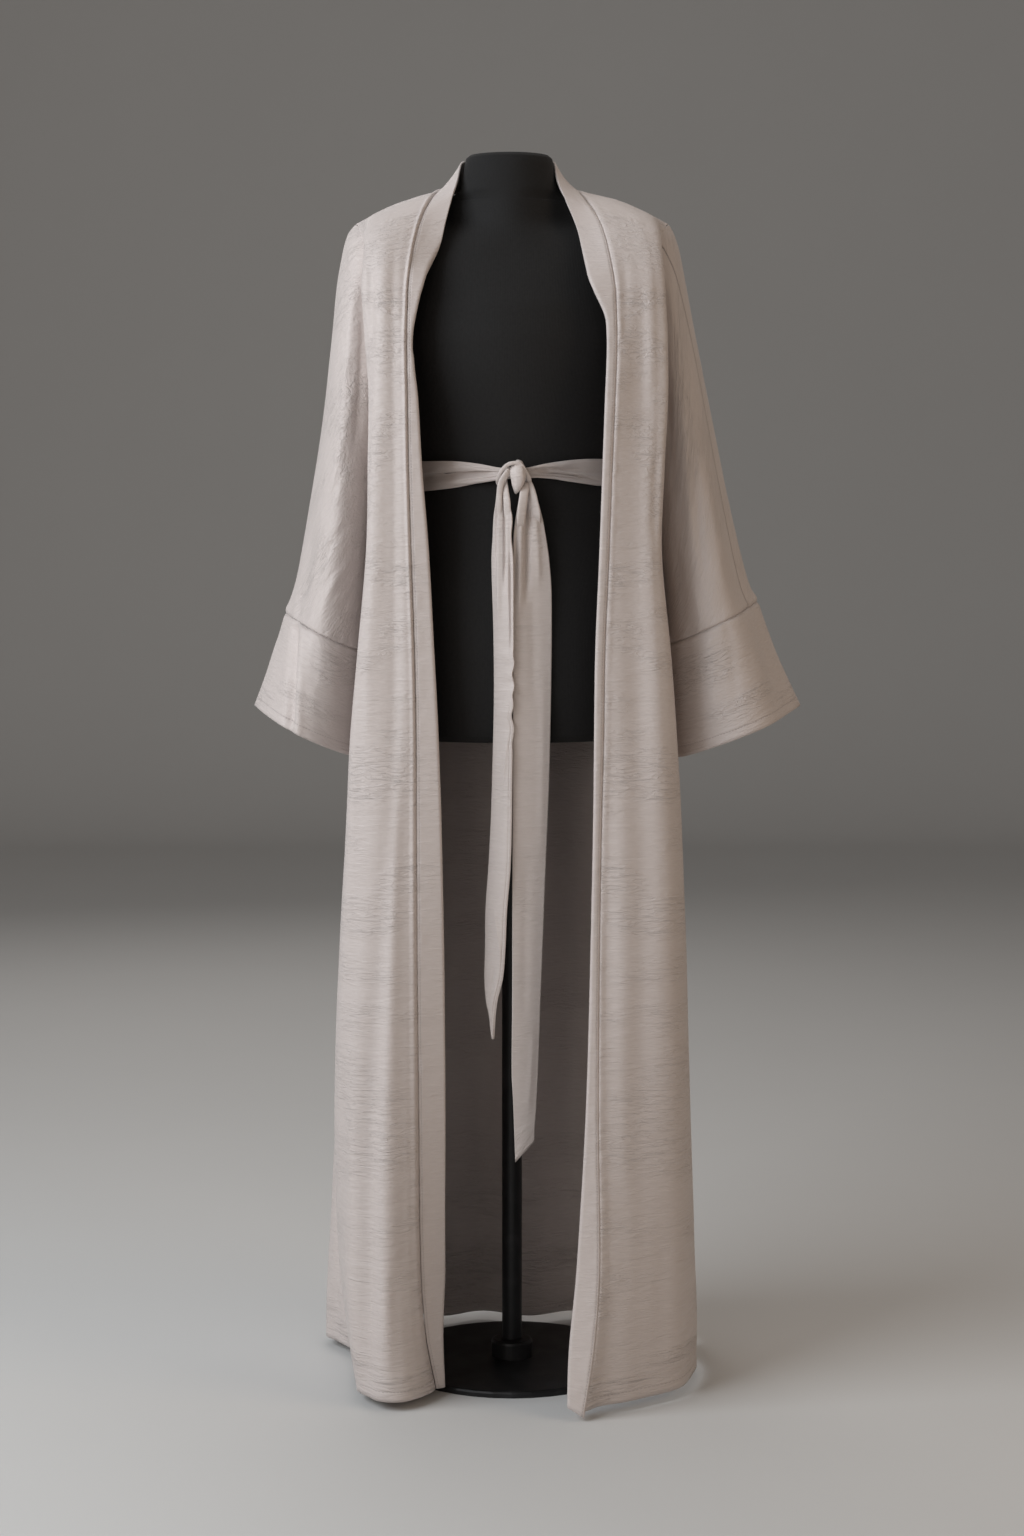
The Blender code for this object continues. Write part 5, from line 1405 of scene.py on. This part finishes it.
def crepe(
    name, light, deep, crinkle, near_hem=0.0, turn=0.0, hem=None, edge=None, groove=PLAIN_GROOVE
):
    """Satin-backed crepe.

    hem and edge are sewn rows, measured up from the hem and across from the seam, and groove is
    the depth of the second, which beyond a plain row's depth is also painted shade.
    """
    material, tree, shader = new_material(name)
    measure, u, v = cloth_places(tree)
    grain_lies = mapped(tree, measure, (1, 1, 1), turn)
    amount = spread(tree, v, *HEM_CRINKLE, crinkle + near_hem, crinkle)
    grain = placed(tree, shared["crepe_grain"], Cloth=grain_lies, Crinkle=amount)
    height, tone = grain.outputs["Height"], grain.outputs["Tone and crease shade"]
    # the blend holds the grain's own tone and the painted shade along its fine creases
    colour = blend_colour(tree, tone, deep, light)
    for away, along, row, depth in ((v, u, hem, PLAIN_GROOVE), (u, v, edge, groove)):
        if row is None:
            continue
        sewn = placed(tree, shared["stitch_row"], Away=away, Along=along, Row=row, Groove=depth)
        height = plus(tree, height, sewn.outputs["Height"])
        # stitch colour, and painted shade along a deep groove
        colour = blend_colour(tree, sewn.outputs["Thread and groove shade"], colour, THREAD_AND_SEAM_SHADE)
    tree.links.new(colour, shader.inputs["Base Color"])
    tree.links.new(spread(tree, tone, 0.0, 1.0, 0.60, 0.50), shader.inputs["Roughness"])
    set_plain(shader, CREPE_SHEEN)
    raised(tree, shader, height)
    return material


def jersey():
    """Black knitted cover of the form, in fine upright ribs."""
    material, tree, shader = new_material("form_jersey_cover")
    measure, u, _ = cloth_places(tree)
    rib = maths(tree, "SINE", times(tree, u, 2 * math.pi / RIB))
    fuzz = noise_of(tree, mapped(tree, measure, JERSEY_FUZZ), 3.0, 0.6)
    height = plus(tree, times(tree, rib, 0.05), times(tree, fuzz, 0.22))
    colour = blend_colour(tree, fuzz, JERSEY, paler(JERSEY, JERSEY_PALER))
    tree.links.new(colour, shader.inputs["Base Color"])
    set_plain(shader, JERSEY_SHEEN)
    raised(tree, shader, height)
    return material


def powder_coat():
    """Fine-grained black powder coat of the stand, a little paler where it is worn."""
    material, tree, shader = new_material("stand_powder_coat")
    place = node(tree, "ShaderNodeTexCoord").outputs["Object"]
    grain = solid_noise(tree, place, 900, 2)
    wear = solid_noise(tree, place, 22, 4)
    worn = spread(tree, wear, 0.5, 0.8)
    colour = blend_colour(tree, worn, POWDER_COAT, paler(POWDER_COAT, WORN_PALER))
    tree.links.new(colour, shader.inputs["Base Color"])
    tree.links.new(spread(tree, wear, 0.2, 0.8, 0.36, 0.52), shader.inputs["Roughness"])
    set_plain(shader, {"Metallic": 0.6})
    raised(tree, shader, times(tree, grain, 0.05))
    return material


def studio_paper():
    """Pale paper of the floor and the wall behind."""
    material, tree, shader = new_material("studio_paper")
    place = node(tree, "ShaderNodeTexCoord").outputs["Object"]
    mottle = solid_noise(tree, place, 3, 5)
    colour = blend_colour(tree, mottle, paler(STUDIO, STUDIO_DEEPER), STUDIO)
    tree.links.new(colour, shader.inputs["Base Color"])
    set_plain(shader, {"Roughness": 0.9})
    return material


# ---- the cloak ----
def make_cloak():
    back = back_points()
    armhole_end = CAP_ROWS + ARMHOLE_ROWS
    pieces = {}
    pieces["back"] = lay_cloth(
        "back_panel", "back", back, CLOTH, finish["panel"], outwards, BACK_CREASES,
        {"start": 0.4, "end": 0.4, "top": 0.5}, seed=2.0,
    )
    for side, word in SIDES:
        front = front_points(side)
        back_edge = back[:, 0 if side == RIGHT else -1]
        loop = np.concatenate([front[: armhole_end + 1, -1], back_edge[armhole_end - 1 : 0 : -1]])
        sleeve, cuff = sleeve_points(side, loop)
        pieces["front_" + word] = lay_cloth(
            f"front_{word}_panel", "front_" + word, front, CLOTH, finish["panel"], outwards,
            FRONT_CREASES[side], {"start": 1.0, "end": 0.35, "top": 0.5}, seed=4.0 + side,
            hangs=FRONT_HANGS[side], bead=BEAD[side],
        )
        pieces["sleeve_" + word] = lay_cloth(
            f"sleeve_{word}_tube", "sleeve_" + word, sleeve, CLOTH, finish["sleeve_" + word],
            around, SLEEVE_CREASES[side], {"top": 0.35, "bottom": 1.0}, ring=True, seed=8.0 + side,
            pucker=CUFF_PUCKER,
        )
        pieces["cuff_" + word] = lay_cloth(
            f"cuff_{word}_turn", "cuff_" + word, cuff, CUFF_CLOTH, finish["cuff"], around,
            CUFF_CREASES[side], {"top": 1.0}, ring=True, seed=12.0 + side, pucker=CUFF_PUCKER,
        )
        pieces["band_" + word] = lay_cloth(
            f"band_{word}_facing", "band_" + word, band_points(side, front), BAND_CLOTH,
            finish["band"], band_facing, seams={"start": 1.0}, lift=BAND_LIFT, rough=0.0003,
            seed=16.0 + side,
        )
    return pieces


# ---- the form ----
def shoulder_height(half):
    """Height of the form's shoulder under the cloak's at this half width."""
    share = (half - SHOULDER_NECK[0]) / (SHOULDER_TIP[0] - SHOULDER_NECK[0])
    fall = max(0.0, (half - TIP_FALLS) / (SHOULDER_TIP[0] - TIP_FALLS))
    clear = NECK_CLEAR * float(ease((CLEAR_END - half) / CLEAR_FADE))
    cloak = float(shoulder_line(share)[2])
    return cloak - CLOTH * SHOULDER_WALLS - SHOULDER_SEAT - TIP_DROP * fall**2 - clear


def form_levels():
    """The form's levels, with those of its shoulders between the torso's and the neck's."""
    outer, inner = SHOULDER_SPAN
    shoulders = []
    for half in SHOULDER_LEVELS:
        share = (outer - half) / (outer - inner)
        front = SHOULDER_FRONT[0] + SHOULDER_FRONT[1] * share
        back = SHOULDER_BACK[0] + SHOULDER_BACK[1] * share
        shoulders.append(Level(shoulder_height(half), half, front, back))
    return FORM + shoulders + NECK


def form_section(height, half, front, back, angles):
    """An ellipse; above the chest it is the neck's round with the shoulders as narrower flanks."""
    high = ease((height - FLANK_HEIGHT[0]) / FLANK_HEIGHT[1])
    wide = ease((half - FLANK_HALF[0]) / FLANK_HALF[1])
    flank = 1 - (1 - SHOULDER_FLANK) * high * wide
    x = half * np.cos(angles)
    sine = np.sin(angles)
    core = np.maximum(0.0, 1 - (x / NECK_CORE) ** 2) ** 1.2 * np.sign(sine)
    depth = np.where(sine > 0, back, -front)
    y = depth * (flank * sine + (1 - flank) * core)
    return np.stack([x, y, np.full(len(angles), height)], -1)


def form_at(height, angles):
    """The form's surface at one height."""
    levels = form_levels()
    half, front, back = (read(levels, height, name) for name in ("half", "front", "back"))
    return form_section(height, half, front, back, angles)


def make_form():
    levels = form_levels()
    index = np.arange(len(levels))
    steps = np.linspace(0, len(levels) - 1, (len(levels) - 1) * FORM_STEPS + 1)[::-1]
    angles = np.arange(FORM_SEGMENTS) * 2 * math.pi / FORM_SEGMENTS
    rings = []
    for step in steps:
        values = [np.interp(step, index, column) for column in zip(*levels)]
        rings.append(form_section(*values, angles))
    points = np.array(rings)
    facing = around(points)
    points = drawn_in(points - unit(facing * (1, 1, 0)) * FORM_SHRINK, FORM_LEAN)
    across, up = cloth_measure(points, True)
    bm = grid_mesh(points, surface_normals(points, True, around), across, up, True)
    softened = [v for v in bm.verts if FORM[-3].z < v.co.z < NECK[0].z + RIM]
    for _ in range(SHOULDER_SMOOTHING):
        bmesh.ops.smooth_vert(
            bm, verts=softened, factor=0.5, use_axis_x=True, use_axis_y=True, use_axis_z=True
        )
    rims = bmesh.ops.holes_fill(bm, edges=[e for e in bm.edges if e.is_boundary], sides=0)["faces"]
    for rim in rims:
        bmesh.ops.inset_region(bm, faces=[rim], thickness=RIM)
    bmesh.ops.recalc_face_normals(bm, faces=bm.faces[:])
    return make_piece("form_body", bm, finish["jersey"], ("form_torso",))


# ---- the belt ----
def belt_loop_points():
    """Rings of the belt round the waist, from its top edge to its bottom one."""
    angles = np.arange(BELT_SEGMENTS) * 2 * math.pi / BELT_SEGMENTS
    here = form_at(KNOT.z, angles)
    before = ease(-here[:, 1] / BELT_BEFORE)
    top = BELT_TOP + (read(BELT_EDGES, here[:, 0], "top") - BELT_TOP) * before
    bottom = BELT_BOTTOM + (read(BELT_EDGES, here[:, 0], "bottom") - BELT_BOTTOM) * before
    rows = []
    for k in range(BELT_ROWS + 1):
        share = k / BELT_ROWS
        heights = top + (bottom - top) * share
        row = np.array([form_at(height, angles[j : j + 1])[0] for j, height in enumerate(heights)])
        ply = BELT_PLY * abs(math.sin(2 * math.pi * share))
        by_knot = np.exp(-(((row[:, :1] - KNOT.x) / KNOT_SPREAD) ** 2))
        pulled = KNOT_REACH * by_knot * before[:, None]
        rows.append(row + unit(row * (1, 1, 0)) * (BELT_LIFT + BELT_CLOTH + ply + pulled))
    return np.array(rows)


def end_points(table, slant):
    """Rows of one hanging end, from the knot down; slant lifts the outer corner of its cut end."""
    share = np.linspace(0, 1, END_ROWS + 1)
    height = table[0].z + (table[-1].z - table[0].z) * share
    names = ("left", "right", "left_y", "right_y")
    left, right, left_y, right_y = (read(table, height, name)[:, None] for name in names)
    across = np.linspace(0, 1, END_COLUMNS + 1)[None, :]
    low = ease((share - END_SLANTS) / (1 - END_SLANTS))[:, None]
    bow = END_BOW * ease(3 * share)[:, None]
    if table is RIGHT_END:
        rippled = ease((RIPPLE_TOP - height) / 0.03) * ease((height - RIPPLE_BOTTOM) / 0.05)
        right = right + (RIPPLE * waver(height, *RIPPLE_ACROSS) * rippled)[:, None]
        right_y = right_y + (RIPPLE * waver(height, *RIPPLE_OUT) * rippled)[:, None]
    x = left + (right - left) * across
    y = left_y + (right_y - left_y) * across - bow * np.sin(math.pi * across)
    return np.stack([x, y, height[:, None] + slant * across * low], -1)


def edge_seamed(points):
    """The seam along the right end's edge, and the edge beyond it curled back a little."""
    inside = np.linalg.norm(points - points[:, -1:], axis=-1)
    lower = ease((EDGE_SEAM_TOP - points[..., 2]) / 0.05)
    groove = np.exp(-(((inside - EDGE_SEAM) / EDGE_GROOVE_WIDTH) ** 2)) * EDGE_GROOVE
    curl = ease((EDGE_SEAM - inside) / EDGE_SEAM) * EDGE_CURL
    return points + (groove + curl)[..., None] * lower[..., None] * np.array((0.3, 1.0, 0.0))


def turn_of_cloth(turn, replaced=()):
    """A folded strip of belt laid along its bends, which stand at even stations."""
    share = np.linspace(0, 1, TURN_RINGS * len(turn.bends) + 1)
    bends = curve(np.linspace(0, 1, len(turn.bends)), turn.bends, share)
    spine, wide, thick = bends[:, :3], bends[:, 3], bends[:, 4]
    twist = curve(np.linspace(0, 1, len(turn.twist)), turn.twist, share)
    run = unit(np.gradient(spine, axis=0))
    out = unit(np.cross(run, np.cross(forwards(run), run)))
    side = unit(np.cross(run, out))
    angle = np.radians(twist)[:, None]
    side, out = (
        side * np.cos(angle) + out * np.sin(angle),
        out * np.cos(angle) - side * np.sin(angle),
    )
    around_it = np.arange(TURN_SEGMENTS) * 2 * math.pi / TURN_SEGMENTS
    c, s = np.cos(around_it), np.sin(around_it)
    plies = 1 + PLY_DEPTH * np.cos(turn.plies * around_it + PLY_START)
    c, s = np.sign(c) * np.abs(c) ** 0.8 * plies, np.sign(s) * np.abs(s) ** 0.9 * plies
    points = (
        spine[:, None]
        + side[:, None] * (c[None, :, None] * wide[:, None, None] / 2)
        + out[:, None] * (s[None, :, None] * thick[:, None, None] / 2)
    )
    across, up = cloth_measure(points, True)
    bm = grid_mesh(points, surface_normals(points, True, around), across, up, True)
    bmesh.ops.holes_fill(bm, edges=[e for e in bm.edges if e.is_boundary], sides=0)
    bmesh.ops.recalc_face_normals(bm, faces=bm.faces[:])
    return make_piece(turn.name, bm, finish["belt"], replaced)


def make_belt():
    loop = lay_cloth(
        "belt_round_waist", "belt_loop", belt_loop_points(), BELT_CLOTH, finish["belt"], outwards,
        BELT_CREASES, ring=True, rough=0.0004, seed=21.0, slot="belt_cloth",
    )
    right = lay_cloth(
        "belt_right_end", "belt_end_right", edge_seamed(end_points(RIGHT_END, 0.0)), BELT_CLOTH,
        finish["belt"], forwards, END_RIGHT_CREASES, rough=0.0007, seed=23.0, slot="belt_cloth",
    )
    left = lay_cloth(
        "belt_left_end", "belt_end_left", end_points(LEFT_END, LEFT_END_SLANT), BELT_CLOTH,
        finish["belt"], forwards, END_LEFT_CREASES, rough=0.0007, seed=25.0, slot="belt_cloth",
    )
    knot = [turn_of_cloth(KNOT_TURNS[0], ("belt_knot",))]
    knot += [turn_of_cloth(turn) for turn in KNOT_TURNS[1:]]
    return {"loop": loop, "right": right, "left": left, "knot": knot}


# ---- studio ----
FLOOR = (16, 12)           # width and depth
FLOOR_SHIFT_Y = 0.2
WALL = 6
SWEEP = 1.0                # round between the floor and the wall behind
VIEW_PLACE = (0, -3.5, 1.09)
VIEW_TILT = 5.53           # degrees downwards
VIEW_FOCUS = 2846 / 1536   # focal length, in heights of the frame
FRAME_HEIGHT = 36
Lamp = namedtuple("Lamp", "name place aim width height power colour")
LAMPS = [
    Lamp("key", (-2.10, -1.34, 2.10), (0, -0.1, 1.10), 2.2, 1.8, 71, (0.89, 0.95, 1.0)),
    Lamp("fill", (2.7, -1.3, 1.7), (0, 0, 1.0), 1.6, 2.0, 19, (1.0, 0.78, 0.57)),
    Lamp("front", (-1.7, -4.1, 1.3), (0, 0, 0.9), 2.6, 2.2, 30, (1.0, 0.93, 0.86)),
    Lamp("top", (0.2, 0.6, 3.2), (0, 0, 1.2), 1.6, 1.2, 12, (1.0, 0.98, 0.96)),
    Lamp("back", (-0.8, 3.1, 2.2), (0, 0, 0.9), 2.0, 1.6, 13, (1.0, 0.97, 0.94)),
]
AIR = (0.92, 0.86, 0.80, 1)
AIR_STRENGTH = 0.14


def make_studio():
    bm = bmesh.new()
    bmesh.ops.create_grid(bm, x_segments=1, y_segments=1, size=0.5)
    for vert in bm.verts:
        vert.co = Vector((vert.co.x * FLOOR[0], vert.co.y * FLOOR[1] + FLOOR_SHIFT_Y, 0))
    rear = [e for e in bm.edges if all(v.co.y > FLOOR_SHIFT_Y for v in e.verts)]
    wall_behind = bmesh.ops.extrude_edge_only(bm, edges=rear)
    for vert in [g for g in wall_behind["geom"] if isinstance(g, bmesh.types.BMVert)]:
        vert.co += Vector((0, 0, WALL))
    low = [e for e in bm.edges if all(v.co.z < 0.01 for v in e.verts)]
    corner = [e for e in low if all(v.co.y > FLOOR_SHIFT_Y for v in e.verts)]
    bmesh.ops.bevel(
        bm, geom=corner, offset=SWEEP, segments=16, profile=0.5, affect="EDGES", material=-1
    )
    bmesh.ops.recalc_face_normals(bm, faces=bm.faces[:])
    mesh = bpy.data.meshes.new("studio_sweep")
    bm.to_mesh(mesh)
    bm.free()
    mesh.shade_smooth()
    mesh.materials.append(studio_paper())
    sweep = bpy.data.objects.new("studio_sweep", mesh)
    bpy.context.scene.collection.objects.link(sweep)


def soft_light(name, place, aim, width, height, power, colour):
    light = bpy.data.lights.new(name, "AREA")
    light.shape, light.size, light.size_y = "RECTANGLE", width, height
    light.energy, light.color = power, colour
    lamp = bpy.data.objects.new(name, light)
    lamp.location = place
    lamp.rotation_euler = (Vector(aim) - Vector(place)).to_track_quat("-Z", "Y").to_euler()
    bpy.context.scene.collection.objects.link(lamp)


def make_lights():
    for lamp in LAMPS:
        soft_light(*lamp)
    world = bpy.data.worlds.new("studio_air")
    world.use_nodes = True
    air = world.node_tree.nodes["Background"]
    air.inputs["Color"].default_value = AIR
    air.inputs["Strength"].default_value = AIR_STRENGTH
    bpy.context.scene.world = world
    bpy.context.scene.view_settings.view_transform = "Standard"


def make_camera():
    lens = bpy.data.cameras.new("view")
    lens.sensor_fit = "VERTICAL"
    lens.sensor_height = FRAME_HEIGHT
    lens.lens = VIEW_FOCUS * FRAME_HEIGHT
    camera = bpy.data.objects.new("view", lens)
    camera.location = VIEW_PLACE
    camera.rotation_euler = (math.radians(90 - VIEW_TILT), 0, 0)
    bpy.context.scene.collection.objects.link(camera)
    bpy.context.scene.camera = camera


shared = {"crepe_grain": crepe_grain(), "stitch_row": stitch_row()}
cloak_colours = (CLOTH_LIGHT, CLOTH_DEEP)
finish = {
    "panel": crepe("panel_crepe", *cloak_colours, 0.47, near_hem=0.47, hem=HEM_FOLD),
    "sleeve_right": crepe("sleeve_right_crepe", *cloak_colours, 0.58, turn=-52),
    "sleeve_left": crepe(
        "sleeve_left_crepe", *cloak_colours, 0.40, turn=40, edge=OVERARM_ROW, groove=SEAM_GROOVE
    ),
    "cuff": crepe("cuff_crepe", *cloak_colours, 0.60, hem=HEM_FOLD),
    "band": crepe("band_crepe", *cloak_colours, 0.24, edge=BAND_ROW),
    # belt colours painted paler than the cloak's, as painted light for the shade it lies in
    "belt": crepe("belt_crepe", BELT_LIGHT_PAINTED_PALER, BELT_DEEP_PAINTED_PALER, 0.30),
    "jersey": jersey(),
    "stand": powder_coat(),
}

make_studio()
make_lights()
make_camera()
cloak = make_cloak()
form = make_form()
belt = make_belt()

for name in ("form_collar", "stand_base", "stand_boss", "stand_pole"):
    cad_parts[name].data.materials.clear()
    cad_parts[name].data.materials.append(finish["stand"])
